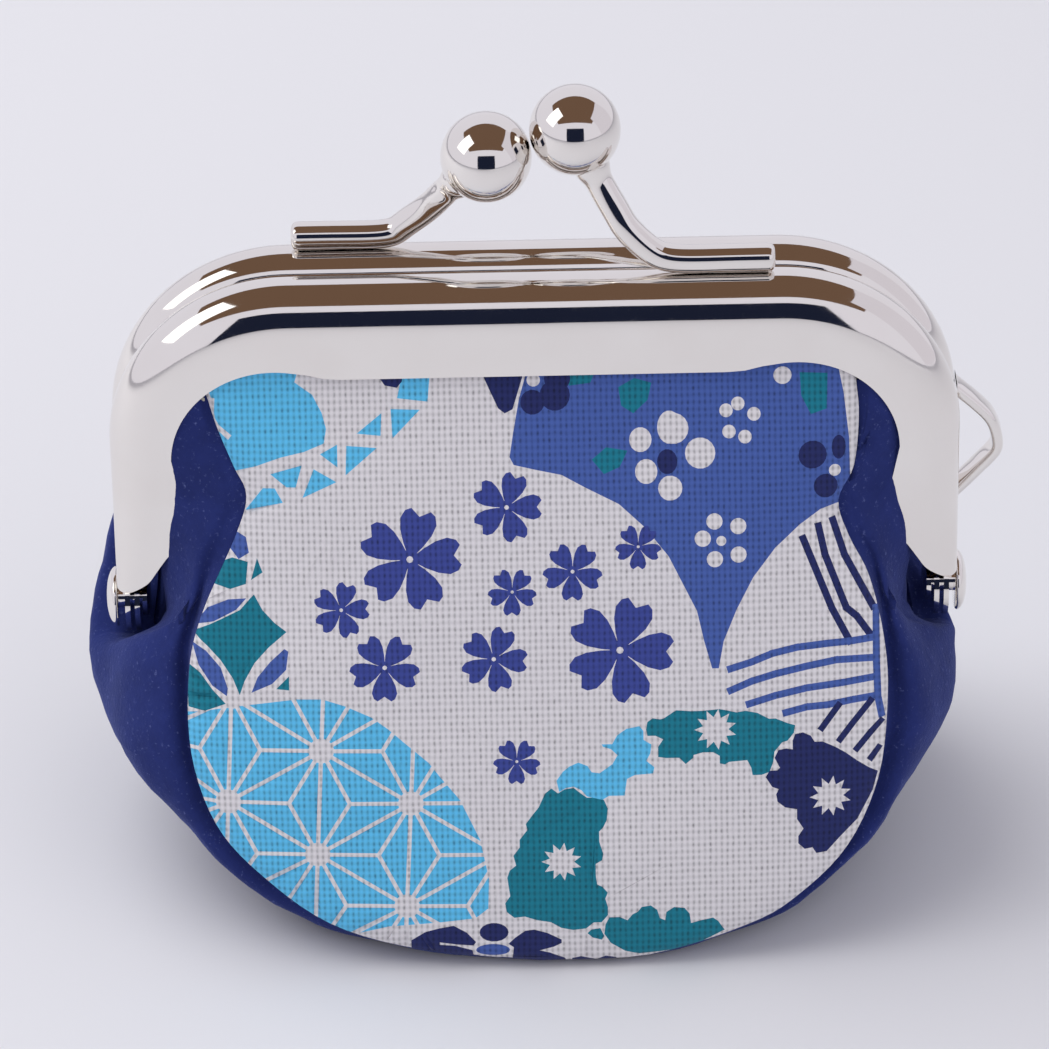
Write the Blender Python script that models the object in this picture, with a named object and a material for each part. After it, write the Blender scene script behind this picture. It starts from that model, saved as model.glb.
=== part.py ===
"""Small kiss-lock coin purse: a hinged steel channel frame with ball clasp, and a gusseted cloth bag.

Metres, +Z up. The origin is at the middle of the bag's resting face, the front looks along -Y, and
both halves of the frame turn about one rivet axis that runs along X.
"""

import math

import bmesh
import bpy
from mathutils import Vector

MM = 0.001

# Frame, measured from the rivet axis
RIVET_HEIGHT = 21.7 * MM
FRAME_WIDTH = 65.0 * MM
FRAME_RISE = 29.7 * MM
FRAME_CORNER = 14.0 * MM
CHANNEL_DEPTH = 5.2 * MM
SHEET_STEEL = 0.5 * MM
CROWN_SHOULDER = 2.9 * MM
LEG_SHOULDER = 1.2 * MM
CROWN_SEAM_EDGE = 2.2 * MM
LEG_SEAM_EDGE = 0.8 * MM
SEAM_EDGE_LAP = 0.12 * MM
BACK_FLANGE = 4.5 * MM
CROWN_FLANGE = 7.05 * MM
CORNER_FLANGE = 6.3 * MM
FLANGE_RISE = 3.0 * MM
LEG_FLANGE = 4.8 * MM
LIP_CORNER = 8.0 * MM
HALVES_GAP = 0.2 * MM

# Height above the rivet axis and flange width of the shaped leg end, top to bottom
LEG_END = ((9.7, 5.4), (7.6, 4.7), (6.4, 3.9), (5.4, 3.0), (4.5, 2.3), (3.9, 1.4), (3.6, 0.5))

# Ears and rivets
EAR_RADIUS = 2.7 * MM
EAR_THICKNESS = 0.36 * MM
EAR_STEP = 0.35 * MM
EAR_GAP = 0.25 * MM
EAR_ROOT = 1.4 * MM
EAR_LAP = 0.3 * MM
EYE_RIM = 0.1 * MM
NECK_INNER = 1.7 * MM
NECK_OUTER = 3.0 * MM
NECK_LOW = math.radians(35)
NECK_HIGH = math.radians(95)
RIVET_SHANK = 0.9 * MM
RIVET_CLEARANCE = 0.1 * MM
RIVET_HEAD = 2.4 * MM
RIVET_DOME = 0.95 * MM
RIVET_STANDOFF = 0.6 * MM
RIVET_UPSET = 1.6 * MM
UPSET_THICKNESS = 0.6 * MM
UPSET_TIP = 1.1 * MM
UPSET_BEVEL = 0.24 * MM

# Ball clasp
BALL_DIAMETER = 6.85 * MM
BALL_SPACING = 6.64 * MM
BALL_STAGGER = 2.0 * MM
FRONT_BALL_RISE = 11.0 * MM
FRONT_BALL_SET_BACK = 0.15 * MM
ARM_ROD = 2.1 * MM
ROD_SQUARENESS = 2.3
ARM_SEAT = 0.1 * MM
FOOT_OUTER = 18.2 * MM
FOOT_INNER = 10.7 * MM

# Bends of the arms, as shares of the run and the rise from the foot to the ball
FRONT_BEND = ((0.23, 0.06), (0.49, 0.25), (0.58, 0.37), (0.76, 0.59))
REAR_BEND = ((0.14, 0.11), (0.41, 0.33), (0.61, 0.61))

# Strap loop on the rear half
LOOP_STRIP = 0.9 * MM
LOOP_WIDTH = 2.2 * MM
LOOP_REACH = 3.7 * MM
LOOP_HEIGHT = 10.0 * MM
LOOP_CENTRE = 11.6 * MM
LOOP_SEAT = 0.1 * MM

# Outer line of the loop, as shares of its height and its reach
LOOP_LINE = ((0.5, 0.06), (0.34, 0.52), (0.2, 0.84), (0.03, 1.0), (-0.12, 0.98), (-0.3, 0.6), (-0.5, 0.12))
LOOP_END = 0.03

# Paper cord pressed into each channel over the cloth edge
PAPER_CORD = 1.8 * MM
CORD_DROP = 0.6 * MM

# Bag
CLOTH = 0.9 * MM
LINING = 0.5 * MM
LINING_INSET = 2.0 * MM
LAYER_GAP = 0.3 * MM
MOUTH_CLEARANCE = 0.35 * MM
PANEL_LOW_EDGE = 1.0 * MM
PANEL_HALF_WIDTH = 27.0 * MM
PANEL_WIDEST = 21.0 * MM
PANEL_FULLNESS = 2.3
WAIST_SET_IN = 9.9 * MM
WAIST_HEIGHT = 35.8 * MM
SHOULDER_SET_IN = 8.5 * MM
FOOT_DEPTH = 20.6 * MM
PANEL_PUFF = 1.5 * MM
PANEL_MIDDLE = 24.0 * MM

# Side gusset, along its middle line
GUSSET_HALF_WIDTH = 35.0 * MM
GUSSET_WIDEST = 15.3 * MM
GUSSET_FULLNESS = 2.6
GUSSET_FOLD = 2.5 * MM
NECK_SET_IN = 4.3 * MM
THROAT_SET_IN = 5.9 * MM
THROAT_HEIGHT = 30.5 * MM
GUSSET_CREASE = 1.6 * MM
SHELF_SLOPE = 0.5 * MM
FOLD_EASE = 1.0 * MM
MOUTH_INSIDE = 1.7 * MM
MOUTH_RISE = 4.5 * MM
SEAT_PRESS = 0.8 * MM

SHARP_ANGLE = math.radians(35)
ARC_STEPS = 6
TURN_STEPS = 20
ROUND_SIDES = 8

HALF_WIDTH = FRAME_WIDTH / 2
CROWN = RIVET_HEIGHT + FRAME_RISE
CORNER_X = HALF_WIDTH - FRAME_CORNER
CORNER_Z = CROWN - FRAME_CORNER
LIP_X = HALF_WIDTH - LEG_FLANGE - LIP_CORNER
LIP_Z = CROWN - CORNER_FLANGE - LIP_CORNER
NEAR = HALVES_GAP / 2
FAR = NEAR + CHANNEL_DEPTH
CREST = NEAR + CROWN_SEAM_EDGE
BALL_RADIUS = BALL_DIAMETER / 2
MOUTH_TOP = CROWN - CROWN_FLANGE - MOUTH_CLEARANCE
MOUTH_DEPTH = FAR - SHEET_STEEL
PANEL_WAIST = HALF_WIDTH - WAIST_SET_IN
PANEL_SHOULDER = HALF_WIDTH - SHOULDER_SET_IN
GUSSET_NECK = HALF_WIDTH - NECK_SET_IN
GUSSET_THROAT = HALF_WIDTH - THROAT_SET_IN
PANEL_SLOPE = (FOOT_DEPTH - MOUTH_DEPTH) / (MOUTH_TOP - PANEL_LOW_EDGE)
LEAN = math.atan(PANEL_SLOPE)


def clear_scene():
    for item in list(bpy.data.objects):
        bpy.data.objects.remove(item, do_unlink=True)


def finish(name, colour, metallic, roughness):
    material = bpy.data.materials.new(name)
    material.use_nodes = True
    shader = material.node_tree.nodes["Principled BSDF"]
    shader.inputs["Base Color"].default_value = (*colour, 1.0)
    shader.inputs["Metallic"].default_value = metallic
    shader.inputs["Roughness"].default_value = roughness
    return material


def nickel(name):
    return finish(name, (0.78, 0.76, 0.73), 1.0, 0.08)


def navy_felt(name):
    return finish(name, (0.03, 0.05, 0.19), 0.0, 0.9)


def print_cotton(name):
    return finish(name, (0.42, 0.55, 0.75), 0.0, 0.8)


def plain_cotton(name):
    return finish(name, (0.8, 0.78, 0.72), 0.0, 0.85)


def kraft_paper(name):
    return finish(name, (0.55, 0.42, 0.27), 0.0, 0.8)


def add_piece(name, points, faces, material, origin=(0, 0, 0)):
    """One closed mesh, with its origin at the given world point and its faces turned outwards."""
    mesh = bpy.data.meshes.new(name)
    base = Vector(origin)
    mesh.from_pydata([Vector(p) - base for p in points], [], faces)
    work = bmesh.new()
    work.from_mesh(mesh)
    bmesh.ops.recalc_face_normals(work, faces=work.faces)
    work.to_mesh(mesh)
    work.free()
    mesh.shade_smooth()
    mesh.set_sharp_from_angle(angle=SHARP_ANGLE)
    mesh.materials.append(material)
    piece = bpy.data.objects.new(name, mesh)
    piece.location = base
    bpy.context.collection.objects.link(piece)
    return piece


def grid_faces(rows, columns, closed_columns=False):
    """Quads between neighbouring rows of points."""
    faces = []
    for i in range(rows - 1):
        for j in range(columns if closed_columns else columns - 1):
            k = (j + 1) % columns
            faces.append((i * columns + j, i * columns + k, (i + 1) * columns + k, (i + 1) * columns + j))
    return faces


def loft(name, sections, material, origin=(0, 0, 0)):
    """A closed solid through equal rings of points, with a flat cap at both ends."""
    count = len(sections[0])
    points = [p for ring in sections for p in ring]
    faces = grid_faces(len(sections), count, closed_columns=True)
    faces.append(tuple(range(count)))
    faces.append(tuple(range(len(points) - count, len(points))))
    return add_piece(name, points, faces, material, origin)


def ease(value):
    """Smooth rise from 0 to 1."""
    value = min(max(value, 0.0), 1.0)
    return value * value * (3 - 2 * value)


def join_solids(target, tools):
    """Unite the tools with the target in one mesh; the thin coplanar laps need the manifold solver."""
    for tool in tools:
        step = target.modifiers.new("weld", "BOOLEAN")
        step.operation = "UNION"
        step.solver = "MANIFOLD"
        step.object = tool
    bpy.context.view_layer.update()
    graph = bpy.context.evaluated_depsgraph_get()
    mesh = bpy.data.meshes.new_from_object(target.evaluated_get(graph))
    target.modifiers.clear()
    target.data = mesh
    for tool in tools:
        bpy.data.objects.remove(tool, do_unlink=True)


# Steel frame


def frame_stations():
    """Outer contour of the frame from the right leg end round to the left one.

    Each station is (x, z, inward x, inward z, flange width, back flange width, shoulder radius,
    seam edge radius).
    """
    right = []
    for height, width in reversed(LEG_END):
        share = ease(height * MM / (CORNER_Z - RIVET_HEIGHT))
        shoulder = LEG_SHOULDER + (CROWN_SHOULDER - LEG_SHOULDER) * share
        seam = LEG_SEAM_EDGE + (CROWN_SEAM_EDGE - LEG_SEAM_EDGE) * share
        back = max(min(BACK_FLANGE, width * MM), seam + SEAM_EDGE_LAP)
        place = (HALF_WIDTH, RIVET_HEIGHT + height * MM)
        right.append((*place, -1.0, 0.0, width * MM, back, shoulder, seam))
    for step in range(ARC_STEPS + 1):
        angle = math.pi / 2 * step / ARC_STEPS
        cx, cz = math.cos(angle), math.sin(angle)
        along = (CORNER_X - LIP_X) * cx + (CORNER_Z - LIP_Z) * cz
        across = (CORNER_X - LIP_X) ** 2 + (CORNER_Z - LIP_Z) ** 2
        reach = -along + math.sqrt(along * along - across + LIP_CORNER**2)
        place = (CORNER_X + FRAME_CORNER * cx, CORNER_Z + FRAME_CORNER * cz)
        flange = FRAME_CORNER - reach
        right.append((*place, -cx, -cz, flange, BACK_FLANGE, CROWN_SHOULDER, CROWN_SEAM_EDGE))
    middle = (CORNER_X - FLANGE_RISE, CROWN)
    right.append((*middle, 0.0, -1.0, CROWN_FLANGE, BACK_FLANGE, CROWN_SHOULDER, CROWN_SEAM_EDGE))
    left = [(-x, z, -nx, nz, *sizes) for x, z, nx, nz, *sizes in reversed(right)]
    return right + left


def bent_edge(radius, inset, end_angle, straight, centre_u, side):
    """Rounded edge of the pressed section, from the roof to its free end, as (u, v) points."""
    bend = radius - inset
    points = []
    for step in range(3 + 1):
        angle = end_angle * step / 3
        points.append((centre_u + side * bend * math.sin(angle), inset + bend * (1 - math.cos(angle))))
    last = points[-1]
    run = (side * straight * math.cos(end_angle), straight * math.sin(end_angle))
    points.append((last[0] + run[0], last[1] + run[1]))
    return points


def channel_section(flange, back, shoulder, seam_edge):
    """Closed (u, v) outline: u from the parting plane outwards, v from the contour inwards."""
    end_angle = math.acos(1 - min(flange / shoulder, 1.0))
    straight = max(flange - shoulder, 0.02 * MM)
    outline = []
    for inset in (0.0, SHEET_STEEL):
        front = bent_edge(shoulder, inset, end_angle, straight, FAR - shoulder, 1)
        seam = bent_edge(seam_edge, inset, math.pi / 2, back - seam_edge, NEAR + seam_edge, -1)
        path = list(reversed(front)) + seam
        outline += path if inset == 0.0 else list(reversed(path))
    return outline


def ear_outline():
    """(u, height above the axis) of an ear: a round eye with a neck up to the leg end."""
    leg = LEG_END[-1][0] * MM + EAR_LAP
    root = leg + EAR_ROOT
    points = [(NECK_INNER, leg), (NECK_INNER, root), (NECK_OUTER, root), (NECK_OUTER, leg)]
    for step in range(TURN_STEPS + 1):
        angle = NECK_LOW - (2 * math.pi + NECK_LOW - NECK_HIGH) * step / TURN_STEPS
        points.append((EAR_RADIUS * math.cos(angle), EAR_RADIUS * math.sin(angle)))
    return points


def make_ear(name, side, facing, inset, material):
    """A plate round the rivet with its hole, stepped inwards from the leg by the inset."""
    hole = RIVET_SHANK + RIVET_CLEARANCE
    play = (SHEET_STEEL - EAR_THICKNESS) / 2
    low, high = EAR_RADIUS + EYE_RIM, LEG_END[-1][0] * MM + EAR_LAP
    outline = ear_outline()
    layers = []
    for depth in (play, play + EAR_THICKNESS):
        outer, eye, inner = [], [], []
        for u, height in outline:
            length = math.hypot(u, height)
            step = inset * (1 - ease((height - low) / (high - low)))
            outer.append((side * (HALF_WIDTH - depth - step), facing * u, RIVET_HEIGHT + height))
            bend = low if length > low else EAR_RADIUS - EYE_RIM
            for ring, radius in ((eye, bend), (inner, hole)):
                at = (facing * u * radius / length, RIVET_HEIGHT + height * radius / length)
                ring.append((side * (HALF_WIDTH - depth - inset), *at))
        layers.append((outer, eye, inner))
    loop = list(layers[0]) + list(reversed(layers[1]))
    count = len(outline)
    points = [p for ring in loop for p in ring]
    faces = []
    for i in range(len(loop)):
        n = (i + 1) % len(loop)
        for j in range(count):
            k = (j + 1) % count
            faces.append((i * count + j, i * count + k, n * count + k, n * count + j))
    return add_piece(name, points, faces, material)


def make_frame(name, facing, ear_inset):
    """One half of the frame: the pressed channel with an ear at each leg end."""
    material = nickel(name + "_nickel")
    sections = []
    for x, z, nx, nz, *sizes in frame_stations():
        sections.append([(x + nx * v, facing * u, z + nz * v) for u, v in channel_section(*sizes)])
    half = loft(name, sections, material, (0, 0, RIVET_HEIGHT))
    ears = [make_ear(name + "_ear", side, facing, ear_inset, material) for side in (1, -1)]
    join_solids(half, ears)
    half.data.shade_smooth()
    half.data.set_sharp_from_angle(angle=SHARP_ANGLE)
    return half


def make_rivet(name, side):
    """Domed head outside, shank through both ears, upset head inside; turned about the rivet axis."""
    head_face = HALF_WIDTH - EAR_STEP + RIVET_STANDOFF
    inner_face = HALF_WIDTH - EAR_STEP - EAR_GAP - 2 * SHEET_STEEL - RIVET_CLEARANCE
    dome = []
    for step in range(ARC_STEPS):
        angle = math.pi / 2 * step / ARC_STEPS
        dome.append((head_face + RIVET_DOME * math.sin(angle), RIVET_HEAD * math.cos(angle)))
    upset_end = inner_face - UPSET_THICKNESS
    profile = [(upset_end, UPSET_TIP), (upset_end + UPSET_BEVEL, RIVET_UPSET)]
    profile += [(inner_face, RIVET_UPSET), (inner_face, RIVET_SHANK), (head_face, RIVET_SHANK)]
    profile += dome
    rings = []
    for x, r in profile:
        ring = []
        for step in range(TURN_STEPS):
            angle = 2 * math.pi * step / TURN_STEPS
            ring.append((side * x, r * math.cos(angle), RIVET_HEIGHT + r * math.sin(angle)))
        rings.append(ring)
    return loft(name, rings, nickel(name + "_nickel"), (0, 0, RIVET_HEIGHT))


def make_paper_cord(name, facing):
    """Round cord that lies in the channel, its own radius clear of the walls."""
    radius = PAPER_CORD / 2
    drop = SHEET_STEEL + LAYER_GAP + radius + CORD_DROP
    middle = (NEAR + FAR) / 2
    rings = []
    for x, z, nx, nz, flange, *_ in frame_stations():
        if flange < drop + radius:
            continue
        ring = []
        for step in range(ROUND_SIDES):
            angle = 2 * math.pi * step / ROUND_SIDES
            v = drop + radius * math.cos(angle)
            ring.append((x + nx * v, facing * (middle + radius * math.sin(angle)), z + nz * v))
        rings.append(ring)
    return loft(name, rings, kraft_paper(name + "_paper"), (0, 0, RIVET_HEIGHT))


# Ball clasp


def ball_centre(facing):
    """Centre of the ball: the front half's on the right and higher, the rear half's on the left."""
    height = CROWN + FRONT_BALL_RISE
    if facing < 0:
        return Vector((BALL_SPACING / 2, FRONT_BALL_SET_BACK, height))
    return Vector((-BALL_SPACING / 2, -FRONT_BALL_SET_BACK, height - BALL_STAGGER))


def curve_points(knots, steps):
    """Points along a smooth curve through the knots."""
    ends = [knots[0] * 2 - knots[1], *knots, knots[-1] * 2 - knots[-2]]
    points = []
    for i in range(len(knots) - 1):
        a, b, c, d = ends[i : i + 4]
        for step in range(steps):
            t = step / steps
            square = (2 * a - 5 * b + 4 * c - d) * t**2
            cube = (3 * b - a - 3 * c + d) * t**3
            points.append(0.5 * (2 * b + (c - a) * t + square + cube))
    points.append(knots[-1])
    return points


def rod_outline(size, sides=12):
    """Outline of a rod that the press has left a little square."""
    points = []
    for step in range(sides):
        angle = 2 * math.pi * (step + 0.5) / sides
        c, s = math.cos(angle), math.sin(angle)
        reach = (abs(c) ** ROD_SQUARENESS + abs(s) ** ROD_SQUARENESS) ** (-1 / ROD_SQUARENESS)
        points.append((size / 2 * reach * c, size / 2 * reach * s))
    return points


def arm_path(facing):
    """Middle line of an arm: a straight foot on the crown's crest, then a bend up to the ball."""
    side = 1 if facing < 0 else -1
    ball = ball_centre(facing)
    low = CROWN + ARM_SEAT + ARM_ROD / 2
    end = Vector((side * FOOT_OUTER, facing * CREST, low))
    start = Vector((side * FOOT_INNER, facing * CREST, low))
    knots = [start]
    for run, rise in FRONT_BEND if facing < 0 else REAR_BEND:
        across = start.x + (ball.x - start.x) * run
        depth = start.y + (ball.y - start.y) * ease(rise)
        knots.append(Vector((across, depth, low + (ball.z - low) * rise)))
    towards = (ball - knots[-1]).normalized()
    knots.append(ball - towards * (BALL_RADIUS + ARM_SEAT))
    return [end] + curve_points(knots, 4)


def make_arm(name, facing):
    outline = rod_outline(ARM_ROD)
    path = arm_path(facing)
    rings = []
    for i, point in enumerate(path):
        ahead, behind = path[min(i + 1, len(path) - 1)], path[max(i - 1, 0)]
        tangent = (ahead - behind).normalized()
        across = Vector((0, 1, 0)) - tangent * tangent.y
        across.normalize()
        up = tangent.cross(across)
        rings.append([point + across * a + up * b for a, b in outline])
    return loft(name, rings, nickel(name + "_nickel"), (0, 0, RIVET_HEIGHT))


def make_ball(name, facing):
    centre = ball_centre(facing)
    work = bmesh.new()
    bmesh.ops.create_uvsphere(work, u_segments=TURN_STEPS, v_segments=TURN_STEPS // 2, radius=BALL_RADIUS)
    points = [v.co + centre for v in work.verts]
    faces = [tuple(v.index for v in face.verts) for face in work.faces]
    work.free()
    return add_piece(name, points, faces, nickel(name + "_nickel"), (0, 0, RIVET_HEIGHT))


def make_strap_loop(name):
    """Flat strip bent to a rounded triangle, standing on the right leg of the rear half."""
    base = HALF_WIDTH + LOOP_SEAT
    outer = [(out * LOOP_REACH, along * LOOP_HEIGHT) for along, out in LOOP_LINE]
    inner = []
    for i, (x, z) in enumerate(outer):
        ax, az = outer[max(i - 1, 0)]
        bx, bz = outer[min(i + 1, len(outer) - 1)]
        length = math.hypot(bx - ax, bz - az)
        inner.append((max(x + (bz - az) / length * LOOP_STRIP, 0.0), z - (bx - ax) / length * LOOP_STRIP))
    end = LOOP_END * LOOP_HEIGHT
    outer = [(0.0, outer[0][1] + end)] + outer + [(0.0, outer[-1][1] - end)]
    inner = [(0.0, inner[0][1])] + inner + [(0.0, inner[-1][1])]
    middle = (NEAR + FAR) / 2
    rings = []
    for (ox, oz), (ix, iz) in zip(outer, inner):
        ring = []
        for (x, z), y in (((ox, oz), -1), ((ox, oz), 1), ((ix, iz), 1), ((ix, iz), -1)):
            height = RIVET_HEIGHT + LOOP_CENTRE + z
            ring.append((base + x, middle + y * LOOP_WIDTH / 2, height))
        rings.append(ring)
    return loft(name, rings, nickel(name + "_nickel"), (0, 0, RIVET_HEIGHT))


# Cloth bag


def panel_depth(z):
    """Distance of a panel's outer face from the middle plane at a height."""
    return FOOT_DEPTH - PANEL_SLOPE * (z - PANEL_LOW_EDGE)


def super_arc(half_width, low, high, fullness, steps):
    """Quarter of a full oval from the bottom middle up to its widest point."""
    points = []
    for step in range(steps + 1):
        angle = math.pi / 2 * step / steps
        x = half_width * math.sin(angle) ** (2 / fullness)
        points.append((x, high - (high - low) * max(math.cos(angle), 0.0) ** (2 / fullness)))
    return points


def seam_line():
    """Right half of the panel's side seam, from the bottom middle to the frame's lip."""
    top = LIP_Z + math.sqrt((LIP_CORNER - MOUTH_CLEARANCE) ** 2 - (PANEL_SHOULDER - LIP_X) ** 2)
    points = super_arc(PANEL_HALF_WIDTH, PANEL_LOW_EDGE, PANEL_WIDEST, PANEL_FULLNESS, 13)
    steps = 5
    for step in range(1, steps + 1):
        z = PANEL_WIDEST + (WAIST_HEIGHT - PANEL_WIDEST) * step / steps
        points.append((PANEL_HALF_WIDTH + (PANEL_WAIST - PANEL_HALF_WIDTH) * ease(step / steps), z))
    for step in range(1, 3 + 1):
        z = WAIST_HEIGHT + (top - WAIST_HEIGHT) * step / 3
        points.append((PANEL_WAIST + (PANEL_SHOULDER - PANEL_WAIST) * ease(step / 3), z))
    return points


def mouth_line():
    """Right half of the panel's top edge under the frame's lip, ending at the middle."""
    radius = LIP_CORNER - MOUTH_CLEARANCE
    start = math.acos((PANEL_SHOULDER - LIP_X) / radius)
    points = []
    for step in range(1, 4 + 1):
        angle = start + (math.pi / 2 - start) * step / 4
        points.append((LIP_X + radius * math.cos(angle), LIP_Z + radius * math.sin(angle)))
    points += [(share * (CORNER_X - FLANGE_RISE), MOUTH_TOP) for share in (1.0, 0.5, 0.0)]
    return points


def panel_outline(inset):
    """Closed outline of a panel in x and z, drawn in towards its middle by about the inset."""
    right = seam_line() + mouth_line()
    share = 1 - inset / PANEL_HALF_WIDTH
    outline = right + [(-x, z) for x, z in reversed(right[1:-1])]
    return [(x * share, PANEL_MIDDLE + (z - PANEL_MIDDLE) * share) for x, z in outline]


def make_panel(name, facing, depth, thickness, inset, material):
    """A flat-cut cloth piece, slightly puffed, leaning back from the foot to the frame's mouth."""
    outline = panel_outline(inset)
    rings = (1.0, 0.85, 0.5)
    count = len(outline)
    points = []
    for layer in (depth, depth + thickness):
        for share in rings:
            for x, z in outline:
                height = PANEL_MIDDLE + (z - PANEL_MIDDLE) * share
                points.append(panel_point(facing, x * share, height, share, layer))
        points.append(panel_point(facing, 0.0, PANEL_MIDDLE, 0.0, layer))
    half = len(points) // 2
    faces = []
    grid = grid_faces(len(rings), count, closed_columns=True)
    for start in (0, half):
        faces += [tuple(start + k for k in face) for face in grid]
        last = start + (len(rings) - 1) * count
        faces += [(last + j, last + (j + 1) % count, start + half - 1) for j in range(count)]
    faces += [(j, (j + 1) % count, half + (j + 1) % count, half + j) for j in range(count)]
    return add_piece(name, points, faces, material)


def panel_point(facing, x, z, share, layer):
    """Point of a panel: share is 1 at its edge and 0 in its middle, layer the depth behind its face."""
    out = PANEL_PUFF * (1 - share * share) - layer
    y = panel_depth(z) + out * math.cos(LEAN)
    return (x, facing * y, z + out * math.sin(LEAN))


def fold_line():
    """Right half of the gusset's middle line: under the bag, out round its side, in over the fold
    below the rivet and up between the frame's legs."""
    points = super_arc(GUSSET_HALF_WIDTH, -SEAT_PRESS, GUSSET_WIDEST, GUSSET_FULLNESS, 14)
    fold_x = GUSSET_HALF_WIDTH - GUSSET_FOLD
    for step in range(1, 5 + 1):
        angle = math.pi / 2 * step / 5
        points.append((fold_x + GUSSET_FOLD * math.cos(angle), GUSSET_WIDEST + GUSSET_FOLD * math.sin(angle)))
    shelf = GUSSET_WIDEST + GUSSET_FOLD + SHELF_SLOPE
    points.append((GUSSET_NECK + GUSSET_CREASE, shelf))
    for step in range(1, 4 + 1):
        angle = math.pi / 2 * step / 4
        x = GUSSET_NECK + GUSSET_CREASE * (1 - math.sin(angle))
        points.append((x, shelf + GUSSET_CREASE * (1 - math.cos(angle))))
    low = points[-1][1]
    for step in range(1, 4 + 1):
        x = GUSSET_NECK + (GUSSET_THROAT - GUSSET_NECK) * ease(step / 4)
        points.append((x, low + (THROAT_HEIGHT - low) * step / 4))
    top = LIP_Z + MOUTH_RISE
    points.append((GUSSET_THROAT, (THROAT_HEIGHT + top) / 2))
    points.append((PANEL_SHOULDER + MOUTH_INSIDE, top))
    return points


def offset_line(points, inset):
    """The line moved towards the bag's inside."""
    result = []
    for i, (x, z) in enumerate(points):
        ax, az = points[max(i - 1, 0)]
        bx, bz = points[min(i + 1, len(points) - 1)]
        if i == 0:
            ax, az = -bx, bz
        length = math.hypot(bx - ax, bz - az)
        result.append((x - (bz - az) / length * inset, z + (bx - ax) / length * inset))
    return result


def along_line(points, share):
    """Point at a share of the line's length."""
    lengths = [math.dist(a, b) for a, b in zip(points, points[1:])]
    target = share * sum(lengths)
    for (ax, az), (bx, bz), length in zip(points, points[1:], lengths):
        if target <= length:
            t = target / length
            return (ax + (bx - ax) * t, az + (bz - az) * t)
        target -= length
    return points[-1]


def gusset_shares():
    """Places along a half gusset, closer together round the fold."""
    below, above = 0.56, 0.74
    shares = [below * i / 11 for i in range(11)]
    shares += [below + (above - below) * i / 10 for i in range(10)]
    shares += [above + (1 - above) * i / 4 for i in range(4 + 1)]
    return shares


def make_gusset(name, depth, seam_inset, fold_inset, floor, thickness, material):
    """The strip between the two panels: a cross-section bulges from seam to seam over the fold line."""
    shares = gusset_shares()
    seam = offset_line([along_line(seam_line(), share) for share in shares], seam_inset)
    fold = offset_line([along_line(fold_line(), share) for share in shares], fold_inset)
    half = list(zip(seam, fold))
    rows = [((-sx, sz), (-fx, fz)) for (sx, sz), (fx, fz) in reversed(half[1:])] + half
    columns = 9
    points = []
    for (sx, sz), (fx, fz) in rows:
        reach = panel_depth(sz) - depth / math.cos(LEAN)
        for step in range(columns):
            angle = math.pi * (step / (columns - 1) - 0.5)
            bulge = math.cos(angle)
            z = max(sz + (fz - sz) * bulge, floor)
            points.append((sx + (fx - sx) * bulge, reach * math.sin(angle), z))
    mesh = bpy.data.meshes.new(name)
    mesh.from_pydata(points, [], grid_faces(len(rows), columns))
    work = bmesh.new()
    work.from_mesh(mesh)
    bmesh.ops.recalc_face_normals(work, faces=work.faces)
    work.faces.ensure_lookup_table()
    middle = min(work.faces, key=lambda face: face.calc_center_median().length)
    if middle.normal.z > 0:
        bmesh.ops.reverse_faces(work, faces=work.faces)
    work.to_mesh(mesh)
    work.free()
    mesh.shade_smooth()
    mesh.materials.append(material)
    piece = bpy.data.objects.new(name, mesh)
    bpy.context.collection.objects.link(piece)
    shell = piece.modifiers.new("cloth thickness", "SOLIDIFY")
    shell.thickness = thickness
    shell.offset = -1
    shell.use_even_offset = False
    return piece


def make_bag():
    lining_depth = CLOTH + LAYER_GAP
    for word, facing in (("front", -1), ("rear", 1)):
        make_panel(word + "_panel", facing, 0.0, CLOTH, 0.0, print_cotton(word + "_print"))
        cotton = plain_cotton(word + "_lining_cotton")
        make_panel(word + "_lining", facing, lining_depth, LINING, LINING_INSET, cotton)
    make_gusset("gusset", lining_depth, 0.0, 0.0, 0.0, CLOTH, navy_felt("gusset_felt"))
    inner_depth = lining_depth + CLOTH + LAYER_GAP
    inner_fold = lining_depth + FOLD_EASE
    cotton = plain_cotton("gusset_lining_cotton")
    make_gusset("gusset_lining", inner_depth, lining_depth, inner_fold, lining_depth, LINING, cotton)


def make_purse():
    clear_scene()
    make_bag()
    make_rivet("left_rivet", -1)
    make_rivet("right_rivet", 1)
    for word, facing, inset in (("front", -1, EAR_STEP), ("rear", 1, EAR_STEP + EAR_GAP + SHEET_STEEL)):
        make_frame(word + "_frame", facing, inset)
        make_paper_cord(word + "_paper_cord", facing)
        make_arm(word + "_clasp_arm", facing)
        make_ball(word + "_clasp_ball", facing)
    make_strap_loop("strap_loop")


make_purse()
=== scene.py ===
# %% [markdown]
# # A kiss-lock coin purse
#
# The purse is a small gusseted cloth bag sewn into a hinged steel channel frame, closed by two balls
# that snap past each other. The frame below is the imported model, and every piece here is built in
# its metres, +Z up, with the front looking along -Y. The photograph looks down on the front.

import math

import bmesh
import bpy
import numpy as np
from mathutils import Matrix, Vector, geometry, noise


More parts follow.
